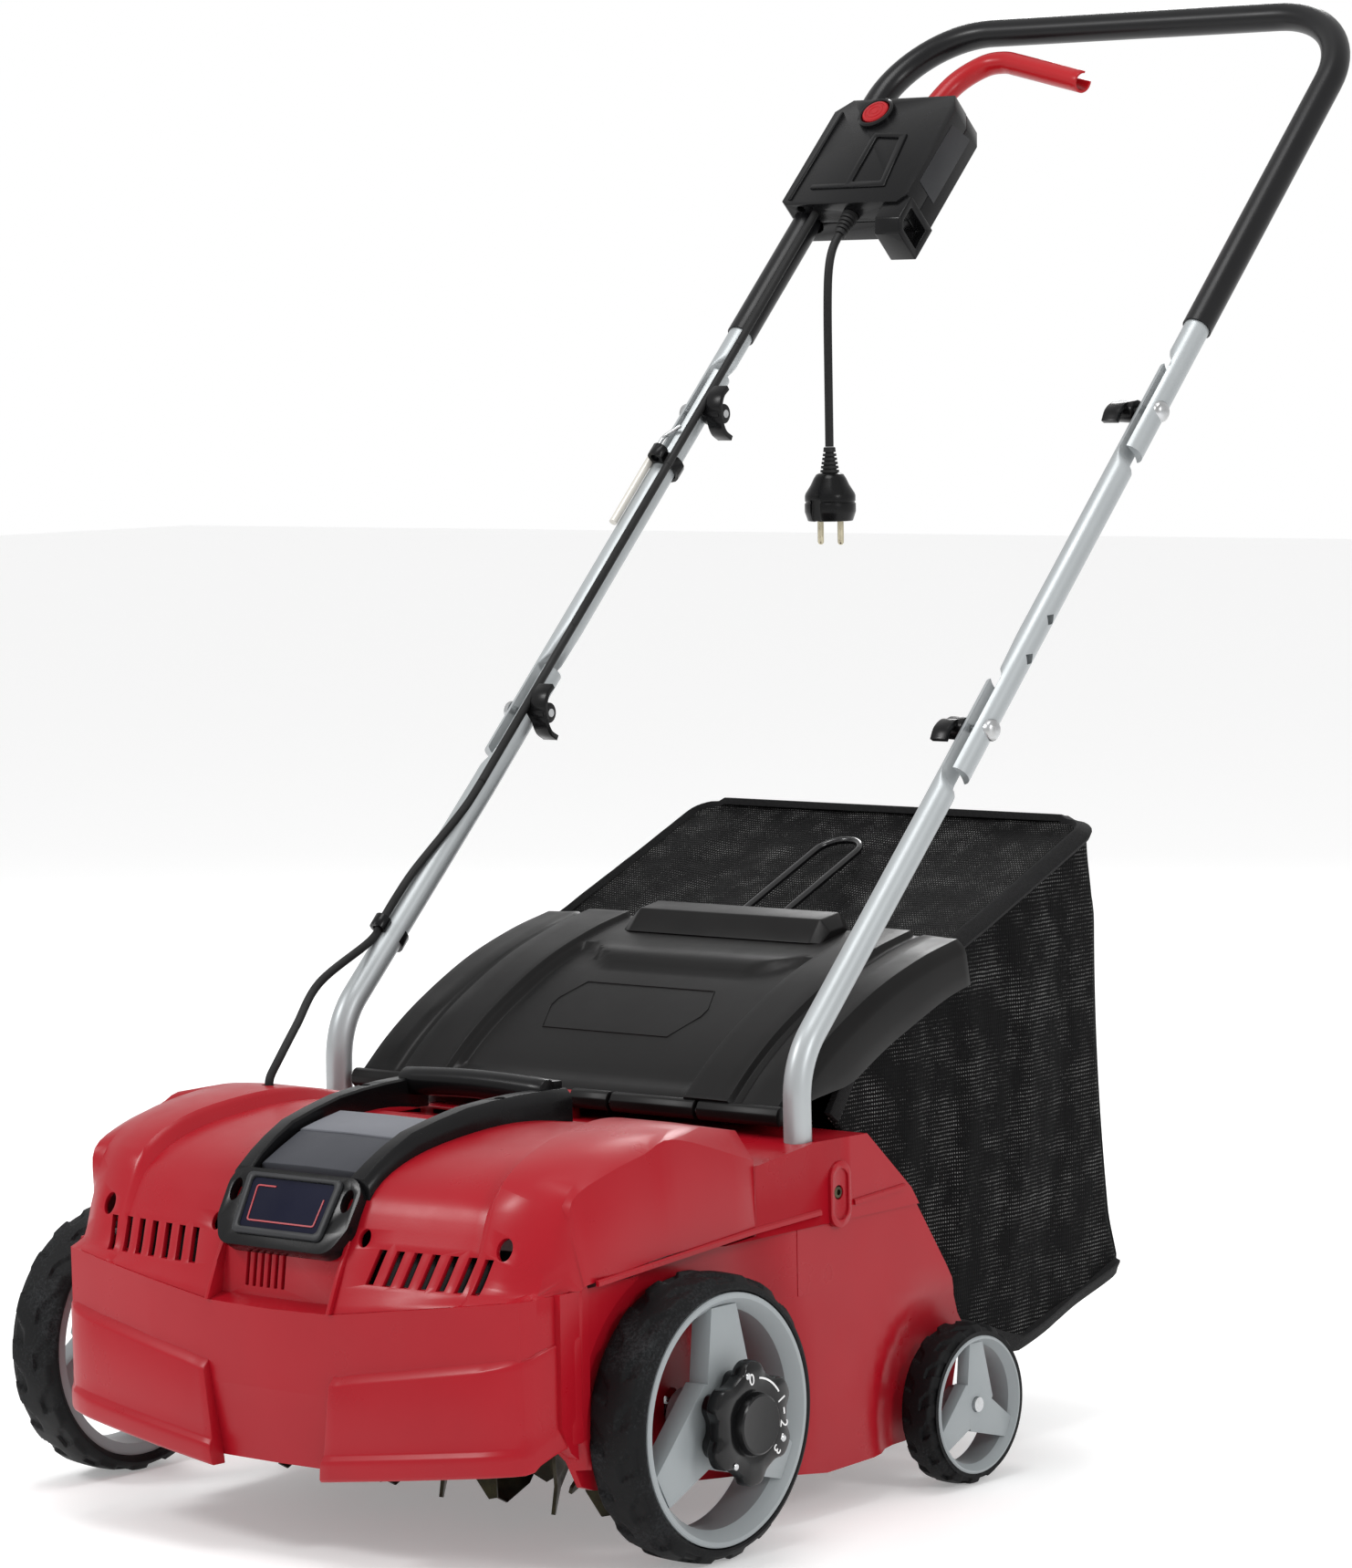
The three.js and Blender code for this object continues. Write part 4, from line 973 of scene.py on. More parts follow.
def make_carry_panel():
    """The cover between the arms: a darker lower half and a paler, slightly raised upper half."""
    lower = [(-114, 241), (-97, 249.2), (-80, 256.6), (-76, 257.4)]
    upper = [(-77, 257.2), (-66, 259.7), (-56, 261.6), (-44, 263.7), (-40, 264.4)]
    for name, line, lift, material, nodes in (("lower", lower, 0, SLATE_DARK, ["carry_panel"]),
                                              ("upper", upper, 1.2, SLATE, [])):
        rings = []
        for y, z in line:
            rings.append([at(x, y + front_bow(x), z + h) for x, h in
                          ((-42.6, 0), (-42.6, 5 + lift), (-40.5, 6.2 + lift), (0, 6.8 + lift), (40.5, 6.2 + lift),
                           (42.6, 5 + lift), (42.6, 0))])
        panel = loft(f"carry_top_panel_{name}", rings)
        soften(panel, 0.5, 2, 25)
        keep(panel, "chassis", material, "slate_plastic", *nodes)


make_carry_handle()
make_badge()
make_carry_panel()


# ---------- rear flap ----------
FLAP_TOP = [(138, 268), (165, 290), (200, 312), (250, 336), (300, 352), (342, 361)]


def flap_relief(x, t):
    """How far the flap's skin stands above its base line."""
    x = abs(x)
    bands = 3.6 * ramp(x, 104, 107) * (1 - ramp(x, 143, 145.5)) + 1.6 * ramp(x, 151, 154)
    recess = -4.2 * (1 - ramp(x, 100, 104)) * (1 - ramp(t - 0.10 * ramp(x, 60, 96), 0.62, 0.65))
    recess *= ramp(t, 0.03, 0.08)
    lip = 1.4 * (1 - ramp(x, 78, 88)) * ramp(t, 0.65, 0.68) * (1 - ramp(t, 0.71, 0.74))
    crown = -2.2 * ramp(x, 130, 188)
    return bands + recess + lip + crown


def make_flap():
    base = spline([Vector((y, z, 0)) for y, z in FLAP_TOP], 6)
    base = [(p.x, p.y) for p in base]
    xs = [0, 30, 56, 60, 66, 72, 76, 80, 84, 88, 92, 96, 100, 101.4, 102.6, 104, 105, 106, 107, 112, 120, 132,
          143, 144.2, 145.5, 148, 151, 152.5, 154, 165, 176, 182]
    rows = []
    for t in steps(0, 1, 44):
        (y, z), (ny, nz) = polyline(base, t)
        half = []
        for x in xs:
            d = flap_relief(x, t)
            half.append((x, y + ny * d, z + nz * d))
        drop = 9 + 26 * ramp(t, 0.0, 0.35) - 5 * ramp(t, 0.6, 1)
        for x, d in ((186, -4.5), (187.6, -7.5), (188.2, -11), (188.2, -0.6 * drop - 6), (188.2, -drop - 3)):
            half.append((x, y + ny * d, z + nz * d))
        rows.append([(-x, b, c) for x, b, c in half[:0:-1]] + half)
    flap = loft("flap_skin", [[at(*p) for p in row] for row in rows], closed=False, caps=False)
    face_up(flap)
    thicken(flap, 3.2)
    soften(flap, 0.6, 2, 40)
    keep(flap, "flap", FLAP_BLACK, "black_plastic", "rear_flap", smooth=30)
    for start, end in ((-187, -97.6), (-94.4, -33.6), (-30.4, -10.5), (10.5, 42.4), (45.6, 116.4), (119.6, 187)):
        ring = [(-1, 7.6), (3, 7.2), (5.5, 4), (5.6, -2), (3, -5.2), (-3, -5.4), (-5.6, -2.4), (-5.8, 2.4),
                (-3.6, 6.4)]
        barrel = prism("flap_barrel", [(138 + a, 262 + b) for a, b in ring], start, end, side_view)
        keep(soften(barrel, 0.6, 2, 30), "flap", FLAP_BLACK, "black_plastic")
    shape = [(308, 354.5), (322, 370), (343, 373.4), (352, 366), (350, 358)]
    rings = []
    for x in (-88, -80, 0, 80, 88):
        squeeze = 1 if abs(x) < 85 else 0.0
        rings.append([at(x, 308 + (y - 308) * (0.72 + 0.28 * squeeze) + (1 - squeeze) * 4,
                         z - (1 - squeeze) * 0.62 * max(z - 358, 0)) for y, z in shape])
    pull = loft("flap_pull", rings)
    soften(pull, 1.2, 3, 25)
    keep(pull, "flap", FLAP_BLACK, "black_plastic")
    outline = rounded([(-72, 0.40), (-60, 0.52), (52, 0.52), (64, 0.40), (50, 0.27), (-60, 0.27)], 0.02, 2)
    path = []
    for x, t in outline + outline[:1]:
        (y, z), (ny, nz) = polyline(base, t)
        path.append(at(x, y - ny * 3.9, z - nz * 3.9))
    ridge = [(-0.0006, -0.0005), (0.0006, -0.0005), (0.0003, 0.0003), (-0.0003, 0.0003)]
    emboss = sweep("flap_emboss", path, ridge)
    keep(emboss, "flap", FLAP_BLACK, "black_plastic")


make_flap()


# ---------- collection bag ----------
BAG_HALF = 180
BAG_TOP = [(245, 316), (300, 340), (340, 354), (515, 427)]
BAG_LOW = [(200, 254), (252, 208), (322, 112), (336, 92), (412, 68), (533, 106)]


def fold_wave(a, b, seed):
    """Soft folds: a few slow waves, uneven along both ways."""
    return (math.sin(a * 0.085 + seed + 1.3 * math.sin(b * 0.013 + seed)) * 0.6
            + math.sin(a * 0.19 + 2 * seed + 1.9 * math.sin(b * 0.021 - seed)) * 0.28
            + math.sin(a * 0.041 - b * 0.012 + 3 * seed) * 0.5)


def set_uv(obj, name, values):
    layer = obj.data.uv_layers.new(name=name)
    for loop in obj.data.loops:
        layer.data[loop.index].uv = values[loop.vertex_index]


def round_corner(a, b, ra, rb):
    """Pulls a point of the square onto rounded corners."""
    da, db = (abs(a) - 1 + ra) / ra, (abs(b) - 1 + rb) / rb
    if da <= 0 or db <= 0:
        return a, b
    return (math.copysign(1 - ra + ra * da * math.sqrt(1 - db * db / 2), a),
            math.copysign(1 - rb + rb * db * math.sqrt(1 - da * da / 2), b))


def bag_point(u, a, b, lift=0.0):
    """A place on the bag's skin: u from the mouth (0) to the rear (1), a across (-1 to 1), b from the floor
    (-1) to the top (1), and lift in mm above the top."""
    (ty, tz), (tny, tnz) = polyline(BAG_TOP, u)
    (ly, lz), (lny, lnz) = polyline(BAG_LOW, u)
    a, b = round_corner(a, b, 0.05, 0.06)
    v = (1 - b) / 2
    slack = ramp(u, 0.4, 1) * (-9 * math.sin(math.pi * v) + 6 * ramp(v, 0.86, 1))
    y, z = ty + (ly - ty) * v + slack, tz + (lz - tz) * v
    radius = 6 + 14 * (1 - ramp(v, 0, 0.22))
    inside = max(0.0, 293 * u - 293 + radius)
    half = BAG_HALF - 1 - radius + math.sqrt(max(radius * radius - inside * inside, 0))
    across, down, deep = math.cos(math.pi * a / 2), math.sin(math.pi * clamp(v)), math.sin(math.pi * clamp(u))
    across = max(across, 0.0)
    beside, above, below = abs(a) ** 8, (1 - v) ** 8, v ** 8
    x = a * half
    folds = 2.6 * deep ** 0.5 * down ** 0.45 * fold_wave(y, z, 1.1 if a > 0 else 2.3)
    x += math.copysign(beside * (folds - 7 * deep * down), a)
    top = above * (-8 * across * deep + 1.5 * (across * deep) ** 0.5 * fold_wave(x, y, 0.4)) + lift
    low = -4 * below * across ** 0.5 * deep ** 0.5
    bulge = ramp(u, 0.97, 1) * across ** 0.5 * (6 * down + 2.4 * down ** 0.5 * fold_wave(x, z, 0.9))
    return at(x, y + tny * top + lny * low + bulge, z + tnz * top + lnz * low)


def corner_steps(zone, count):
    """From -1 to 1, closer together in the corners."""
    middle_part = steps(zone - 1, 1 - zone, count)
    return [-1, -1 + zone / 3, -1 + zone * 2 / 3] + middle_part + [1 - zone * 2 / 3, 1 - zone / 3, 1]


def make_bag():
    """The mesh bag: one skin lofted from the mouth to the rear, closed there, and open to the deck in front."""
    columns, levels = corner_steps(0.05, 42), corner_steps(0.06, 34)[::-1]
    stations = steps(0, 0.93, 40) + [0.945, 0.96, 0.972, 0.982, 0.99, 0.996, 1.0]
    last_i, last_j = len(columns) - 1, len(levels) - 1
    edge = ([(i, 0) for i in range(last_i)] + [(last_i, j) for j in range(last_j)]
            + [(i, last_j) for i in range(last_i, 0, -1)] + [(0, j) for j in range(last_j, 0, -1)])
    count = len(edge)
    vertices = [bag_point(u, columns[i], levels[j]) for u in stations for i, j in edge]
    faces = []
    for k in range(len(stations) - 1):
        for n in range(count):
            m = (n + 1) % count
            if edge[n][1] == last_j and edge[m][1] == last_j and stations[k] < 0.31:
                continue
            faces.append((k * count + n, k * count + m, (k + 1) * count + m, (k + 1) * count + n))
    index = {place: (len(stations) - 1) * count + n for n, place in enumerate(edge)}
    for i in range(1, last_i):
        for j in range(1, last_j):
            index[i, j] = len(vertices)
            vertices.append(bag_point(1.0, columns[i], levels[j]))
    for i in range(last_i):
        for j in range(last_j):
            faces.append((index[i, j], index[i + 1, j], index[i + 1, j + 1], index[i, j + 1]))
    shell = raw("bag_shell", vertices, faces)
    work = bmesh.new()
    work.from_mesh(shell.data)
    bmesh.ops.recalc_face_normals(work, faces=work.faces)
    work.to_mesh(shell.data)
    work.free()
    rear = max(shell.data.polygons, key=lambda p: p.center.y)
    if rear.normal.y < 0:
        shell.data.flip_normals()
    layer = shell.data.uv_layers.new(name="cloth")
    for face in shell.data.polygons:
        for loop in face.loop_indices:
            x, y, z = shell.data.vertices[shell.data.loops[loop].vertex_index].co
            n = face.normal
            if abs(n.x) > 0.6:
                layer.data[loop].uv = (y, z)
            elif abs(n.y) > abs(n.z):
                layer.data[loop].uv = (x, z)
            else:
                layer.data[loop].uv = (x, y * 1.08)
    thicken(shell, 1.2)
    return keep(shell, "bag_unit", CLOTH, "bag_mesh", "bag", smooth=60)


def tape(name, path, width, thick, up):
    """A sewn tape along a line of points in metres: a flat band with rounded edges."""
    w, h = width / 2000, thick / 2000
    profile = [(-w, -h), (w, -h), (w * 1.02, 0), (w, h), (w * 0.75, h * 1.25), (0, h * 1.1),
               (-w * 0.75, h * 1.25), (-w, h), (-w * 1.02, 0)]
    band = sweep(name, path, profile, first_up=up)
    values = []
    total = 0.0
    previous = Vector(path[0])
    count = len(profile)
    for i in range(len(band.data.vertices)):
        station = min(i // count, len(path) - 1)
        if i % count == 0 and station:
            total += (Vector(path[station]) - previous).length
            previous = Vector(path[station])
        values.append(((i % count) * 0.003, total))
    set_uv(band, "cloth", values)
    return keep(band, "bag_unit", WEBBING, "bag_mesh", smooth=50)


def make_bag_trim():
    """The sewn tapes along the bag's edges, the wire hoop in its mouth and the wire loop to lift it by."""
    border = [bag_point(u, -1, 1, 0.6) for u in steps(0.0, 0.93, 34) + [0.95, 0.965, 0.978, 0.988, 0.995]]
    across = [bag_point(1.0, a, 1, 0.6) for a in steps(-1, 1, 40)]
    other = [Vector((2 * MID_X - p.x, p.y, p.z)) for p in border]
    hems = [tape("bag_hem_top", border + across + other[::-1], 12, 4.5, (-0.6, -0.2, 0.8))]
    for name, side in SIDES:
        down = [bag_point(1.0, side, b) for b in steps(0.985, -0.985, 40)]
        hems.append(tape(f"bag_hem_rear_{name}", down, 8, 4.5, (side * 0.7, 0.7, 0)))
        low = [bag_point(u, side, -1) for u in steps(0.30, 0.99, 60)]
        low = [p + Vector((side * 0.0012 * math.sin(i * 0.35), 0, 0)) for i, p in enumerate(low)]
        hems.append(tape(f"bag_hem_low_{name}", low, 13, 5, (side * 0.7, 0, -0.7)))
        mouth = [bag_point(0.004, side, b) for b in steps(0.96, -0.96, 14)]
        hems.append(tape(f"bag_hem_mouth_{name}", mouth, 12, 4.5, (side, 0, 0)))
    low = [bag_point(1.0, a, -1) for a in steps(-1, 1, 40)]
    hems.append(tape("bag_hem_low_rear", low, 13, 5, (0, 0.7, -0.7)))
    hoop = [at(-172, 334, 134), at(-172, 228, 283), at(172, 228, 283), at(172, 334, 134)]
    hoop = rounded(hoop, 0.02, 8, False)
    keep(tube("bag_hoop", hoop, 2.5, 16), "bag_unit", WIRE, "black_wire", "bag_frame")
    loop = [at(-18, 362, 368), at(-18, 462, 410), at(18, 462, 410), at(18, 362, 368)]
    loop = rounded(loop, 0.0175, 10, False)
    keep(tube("bag_wire_loop", loop, 2.6, 16), "bag_unit", WIRE, "black_wire", "bag_handle")
    return hems


bag_shell = make_bag()
make_bag_trim()


# ---------- wheels ----------
FRONT = dict(y=0, z=92, radius=92, rim=80.7, inner=205, outer=249, stub=6, hub=17)
FRONT_LEFT = dict(FRONT, inner=262, outer=306)
REAR = dict(y=285, z=54.4, radius=54.4, rim=46.5, inner=208, outer=238, stub=5, hub=11)


def tread_depth(angle, share, lugs):
    """How deep the tread is sunk at a turn of the tyre and a share of its width from inside to outside."""
    depth = 0.0
    for row, (low, high, slant) in enumerate(((0.60, 0.93, 0.5), (0.07, 0.40, -0.5))):
        middle_share = (share - low) / (high - low)
        if not 0 <= middle_share <= 1:
            continue
        turn = angle * lugs / (2 * math.pi) + 0.5 * row + slant * (middle_share - 0.5) * 0.7
        local = turn % 1
        narrow = 0.30 - 0.13 * (1 - middle_share if row == 0 else middle_share)
        edge = 0.035
        inside = ramp(local, 0.5 - narrow, 0.5 - narrow + edge)
        inside *= 1 - ramp(local, 0.5 + narrow - edge, 0.5 + narrow)
        inside *= ramp(middle_share, 0, 0.09) * (1 - ramp(middle_share, 0.91, 1))
        depth = max(depth, inside)
    return depth


def make_tyre(name, side, w, lugs, node, body):
    radius, inner, outer, rim = w["radius"], w["inner"], w["outer"], w["rim"]
    width = outer - inner
    profile = [(inner + 3, rim + 0.3), (inner + 1, rim + 3), (inner + 0.4, radius - 7)]
    tread = 30
    for i in range(tread + 1):
        t = i / tread
        x = inner + 1 + (width - 3) * t
        crown = abs(2 * t - 1)
        fall = 1.2 * crown ** 2 + 4.6 * ramp(crown, 0.72, 1.0) ** 1.4
        profile.append((x, radius - fall))
    profile += [(outer - 0.9, radius - 8), (outer - 0.7, rim + 3.0), (outer - 1.0, rim + 1.2),
                (outer - 3, rim + 0.3)]
    sides = 300
    rings = []
    for k in range(sides):
        angle = 2 * math.pi * k / sides
        ring = []
        for x, r in profile:
            if r > radius - 6.5:
                r -= 2.1 * tread_depth(angle, (x - inner) / width, lugs)
            ring.append(at(side * x, w["y"] + r * math.cos(angle), w["z"] + r * math.sin(angle)))
        rings.append(ring)
    return keep(ring_loft(name, rings), body, TYRE, "tyre_rubber", node, smooth=42)


def make_rim(name, side, w, node, body):
    rim, inner, outer = w["rim"], w["inner"], w["outer"]
    width = outer - inner
    place = lambda out, a, b: at(side * out, w["y"] + a, w["z"] + b)
    small = inner + width * 0.12
    ring_profile = [(small, rim * 0.9), (small, rim), (outer - 0.9, rim), (outer, rim - 0.9),
                    (outer, rim * 0.955), (outer - 1.2, rim * 0.94), (outer - width * 0.2, rim * 0.87),
                    (outer - width * 0.55, rim * 0.87)]
    sides = 120
    turns = [2 * math.pi * k / sides for k in range(sides)]
    rings = [[place(out, r * math.cos(a), r * math.sin(a)) for out, r in ring_profile] for a in turns]
    body_mesh = ring_loft(name, rings)
    spoke = [(-0.24, 0), (-0.15, 0.90), (0.16, 0.90), (0.4, 0.06), (0.2, -0.2)]
    star = None
    for i in range(3):
        turn = 2 * math.pi * i / 3
        outline = []
        for across, out in spoke:
            a, b = side * across * rim, out * rim
            outline.append((a * math.cos(turn) - b * math.sin(turn), a * math.sin(turn) + b * math.cos(turn)))
        arm = prism("arm", outline, outer - width * 0.42, outer - 3.2, lambda u, v, x: place(x, u, v))
        star = join(star, arm) if star else arm
    join(star, lathe("hub", [(inner + 6, 0.3), (inner + 6, w["hub"]), (outer - 3.3, w["hub"]), (outer - 3.3, 0.3)],
                     place, 40))
    soften(star, 1.3, 2, 40)
    join(body_mesh, star)
    cut(body_mesh, lathe("bore", [(inner - 5, 0.2), (inner - 5, w["stub"] + 0.2), (outer + 5, w["stub"] + 0.2),
                                  (outer + 5, 0.2)], place, 28))
    return keep(body_mesh, body, RIM, "rim_grey", node, smooth=32)


for side_name, side_sign in SIDES:
    front = FRONT if side_sign > 0 else FRONT_LEFT
    for end, wheel, lugs in (("front", front, 18), ("rear", REAR, 16)):
        ridden = f"{end}_wheel_{side_name}"
        make_tyre(f"tyre_{end}_{side_name}", side_sign, wheel, lugs, f"{end}_tyre_{side_name}", ridden)
        make_rim(f"rim_{end}_{side_name}", side_sign, wheel, f"{end}_rim_{side_name}", ridden)


# ---------- depth dial ----------
def dial_place(out, a, b):
    return at(out, FRONT["y"] + a, FRONT["z"] + b)


def make_dial():
    turns = steps(0, 2 * math.pi, 192)[:-1]
    levels = [(250, -30), (250, -8), (257, -7), (259, -1.5), (260.5, 0), (266.5, 0), (269, -0.8), (270, -2.6)]

    def lobe(angle):
        return 36.6 + 3.4 * math.tanh(1.5 * math.cos(6 * (angle - math.radians(30)))) / math.tanh(1.5)

    rings = [[dial_place(out, (lobe(a) + less) * math.cos(a), (lobe(a) + less) * math.sin(a)) for a in turns]
             for out, less in levels]
    face = ((270.2, 23), (269.4, 21.4), (269.4, 20.2), (274.2, 19.2), (275, 18), (274.4, 13), (274.1, 0.3))
    rings += [[dial_place(out, r * math.cos(a), r * math.sin(a)) for a in turns] for out, r in face]
    dial = loft("dial_knob", rings)
    cut(dial, lathe("dial_bore", [(240, 0.2), (240, 6.3), (262.4, 6.3), (262.4, 0.2)], dial_place, 24))
    keep(dial, "dial", GLOSS_BLACK, "black_plastic", "depth_dial", smooth=40)
    for i, (angle, r) in enumerate(((103, 32), (229, 31.5), (-26, 31))):
        a = math.radians(angle)
        centre = (r * math.cos(a), r * math.sin(a))
        head = lathe(f"dial_screw_{i}", [(268, 0.1), (268, 2.3), (270.6, 2.3), (271.1, 1.7), (271.1, 0.1)],
                     lambda out, u, v, c=centre: dial_place(out, c[0] + u, c[1] + v), 20)
        keep(head, "dial", STEEL, "steel")
    for figure, angle in (("0", 97), ("1", 24), ("2", -8), ("3", -43)):
        data = bpy.data.curves.new(f"dial_figure_{figure}", "FONT")
        data.body = figure
        data.size = 0.0105
        data.align_x = "CENTER"
        data.align_y = "CENTER"
        data.extrude = 0.0002
        text = bpy.data.objects.new(f"dial_figure_{figure}", data)
        bpy.context.collection.objects.link(text)
        a = math.radians(angle)
        outward = Vector((0, math.cos(a), math.sin(a)))
        facing = Vector((1, 0, 0))
        spot = dial_place(270.25, 28.5 * math.cos(a), 28.5 * math.sin(a))
        text.matrix_world = Matrix.Translation(spot) @ Matrix(
            (outward.cross(facing), outward, facing)).transposed().to_4x4()
        mesh = bpy.data.meshes.new_from_object(text)
        figure_obj = bpy.data.objects.new(f"dial_number_{figure}", mesh)
        bpy.context.collection.objects.link(figure_obj)
        figure_obj.matrix_world = text.matrix_world
        bpy.data.objects.remove(text)
        keep(figure_obj, "dial", WHITE, "black_plastic")
    for name, start, end in (("long", 82, 36), ("short_a", 12, 4), ("short_b", -21, -29)):
        arc = [dial_place(270.3, 29 * math.cos(math.radians(a)), 29 * math.sin(math.radians(a)))
               for a in steps(start, end, 16)]
        line = [(-0.0003, -0.0006), (0.0003, -0.0006), (0.0003, 0.0006), (-0.0003, 0.0006)]
        keep(sweep(f"dial_line_{name}", arc, line, first_up=(0, 0.5, 0.5)), "dial", WHITE, "black_plastic")


def make_hub_cap():
    place = lambda out, a, b: at(-out, a, FRONT["z"] + b)
    cap = lathe("hub_cap_left", [(306.5, 6.5), (306.5, 17), (314, 17), (316.4, 15), (317, 12), (315.6, 9),
                                 (315.6, 0.3), (313.5, 0.3), (313.5, 6.5)], place, 48)
    black_part(cap, "axle", "hub_cap")


make_dial()
make_hub_cap()


# ---------- handle ----------
TUBE_X = 203
TUBE_R = 9.3
LAP_SHIFT = 3.2
LAP_LOW, LAP_HIGH = 41, 38
FOLD_GAP = 296
HANDLE_TOP = 702
GRIP_START = 377
GRIP_R = 10.75
CORNER_R = 75


def lapped_rings(side, stations, shift, laps):
    """The rings of a tube whose ends are pressed to a crescent where it laps its neighbour.
    laps lists (from, to, facing): facing 1 presses its outer side flat, -1 its inner side."""
    sides = 36
    rings = []
    for s in stations:
        press, facing = 0.0, 0
        for start, end, way in laps:
            inside = ramp(s, start - 16, start) * (1 - ramp(s, end, end + 16))
            if inside > press:
                press, facing = inside, way
        ring = []
        for a, b in circle(TUBE_R, sides):
            toward = a * facing
            if toward > -1.5:
                hollow = -1.6 - 2.2 * (1 - (b / TUBE_R) ** 2)
                target = max(min(toward, 9), 0) * 0.06 + hollow
                a = a + (target * facing - a) * press
            ring.append((a, b))
        rings.append([along(side * (TUBE_X + a + shift), s, b) for a, b in ring])
    return rings


def make_tubes():
    for name, side in SIDES:
        lap = [(-LAP_LOW, LAP_HIGH, 1)]
        knee = rounded([at(side * (TUBE_X - LAP_SHIFT * 0.3), 136, 212),
                        at(side * (TUBE_X - LAP_SHIFT * 0.6), 136, 300),
                        along(side * (TUBE_X - LAP_SHIFT), -70, 0)], 0.06, 10, False)
        knee[-1:] = [knee[-2].lerp(knee[-1], t) for t in (0.33, 0.66, 0.9, 1.0)]
        low = tube(f"tube_low_{name}", knee, TUBE_R, 36)
        keep(low, "chassis", SILVER, "tube_silver", f"lower_tube_{name}", smooth=50)
        stations = steps(-72, LAP_HIGH, 40)
        lap_piece = loft(f"tube_lap_low_{name}", lapped_rings(side, stations, -LAP_SHIFT, lap))
        keep(lap_piece, "chassis", SILVER, "tube_silver", smooth=50)
        stations = steps(-LAP_LOW, 40, 26) + steps(50, 236, 6) + steps(240, FOLD_GAP + LAP_HIGH, 32)
        laps = [(-LAP_LOW - 20, LAP_HIGH, -1), (FOLD_GAP - LAP_LOW, FOLD_GAP + LAP_HIGH + 20, 1)]
        mid = loft(f"tube_middle_{name}", lapped_rings(side, stations, LAP_SHIFT * 0.4, laps))
        if side > 0:
            for s in (64, 100):
                hole = prism("square_hole", [(s - 5, 0), (s, 4.4), (s + 5, 0), (s, -4.4)], 206, 230, handle_side)
                cut(mid, hole)
        keep(mid, "middle_handle", SILVER, "tube_silver", f"middle_tube_{name}", smooth=50)


def make_upper_handle():
    for name, side in SIDES:
        stations = steps(FOLD_GAP - LAP_LOW, FOLD_GAP + 50, 30) + steps(FOLD_GAP + 54, GRIP_START + 6, 4)
        laps = [(FOLD_GAP - LAP_LOW - 20, FOLD_GAP + LAP_HIGH, -1)]
        leg = loft(f"tube_upper_{name}", lapped_rings(side, stations, LAP_SHIFT * 0.9, laps))
        nodes = ["upper_handle"] if side > 0 else []
        keep(leg, "top_handle", SILVER, "tube_silver", *nodes, smooth=50)
    shift = LAP_SHIFT * 0.9
    corners = [along(TUBE_X + shift, GRIP_START, 0), along(TUBE_X + shift, HANDLE_TOP, 0),
               along(-TUBE_X - shift, HANDLE_TOP, 0), along(-TUBE_X - shift, GRIP_START, 0)]
    path = rounded(corners, CORNER_R / 1000, 18, False)
    outer = sweep("grip_sleeve", path, circle(GRIP_R / 1000, 40))
    low, high, bore = GRIP_START - 1, GRIP_START + 4, TUBE_R + 0.1
    ends = [lathe("grip_end", [(low, 0.2), (low, bore), (high, bore), (high, 0.2)],
                  lambda out, a, b, s=side: along(s * (TUBE_X + shift) + a, out, b), 32) for _, side in SIDES]
    cut(outer, *ends)
    keep(outer, "top_handle", GRIP, "grip_black", "grip_cover", smooth=40)


def wing_nut(name, side, bolt, body, node):
    """A pressed wing nut: a round hub and a wavy wing plate."""
    turn = math.radians(-40 if side > 0 else 50)
    wave = spline([Vector((-19, -5, 0)), Vector((-14, 2, 0)), Vector((-6, 5.5, 0)), Vector((0, 4.8, 0)),
                   Vector((6, 5.5, 0)), Vector((14, 2, 0)), Vector((19, -5, 0))], 5)
    outline = []
    for sign in (1, -1):
        for i in (range(len(wave)) if sign > 0 else range(len(wave) - 1, -1, -1)):
            a, b = wave[max(i - 1, 0)], wave[min(i + 1, len(wave) - 1)]
            t = (b - a).normalized()
            outline.append((wave[i].x - t.y * sign * 1.9, wave[i].y + t.x * sign * 1.9))
    turned = [(bolt + u * math.cos(turn) - v * math.sin(turn), u * math.sin(turn) + v * math.cos(turn))
              for u, v in outline]
    near, far = TUBE_X - 27, TUBE_X - TUBE_R - 5
    wing = prism(name, turned, side * near, side * far, handle_side, 2)
    join(wing, lathe("nut_hub", [(TUBE_X - 25, 3.3), (TUBE_X - 25, 7.4), (TUBE_X - TUBE_R - 2, 8.2),
                                 (TUBE_X - TUBE_R - 0.6, 8.2), (TUBE_X - TUBE_R - 0.6, 3.3)],
                     lambda out, a, b: along(side * out, bolt + a, b), 28))
    soften(wing, 0.8, 2, 35)
    black_part(wing, body, node)


def fold_bolt(name, side, bolt, body, node):
    base = TUBE_X + TUBE_R + LAP_SHIFT * 0.4 - 0.3
    profile = [(TUBE_X - 27, 0.2), (TUBE_X - 27, 3), (base - 2, 3), (base - 2, 7.6), (base + 0.6, 7.6),
               (base + 1.8, 7.1), (base + 3.2, 5.6), (base + 4.1, 3.2), (base + 4.4, 0.2)]
    head = lathe(name, profile, lambda out, a, b: along(side * out, bolt + a, b), 40)
    keep(head, body, STEEL, "steel", node, smooth=40)


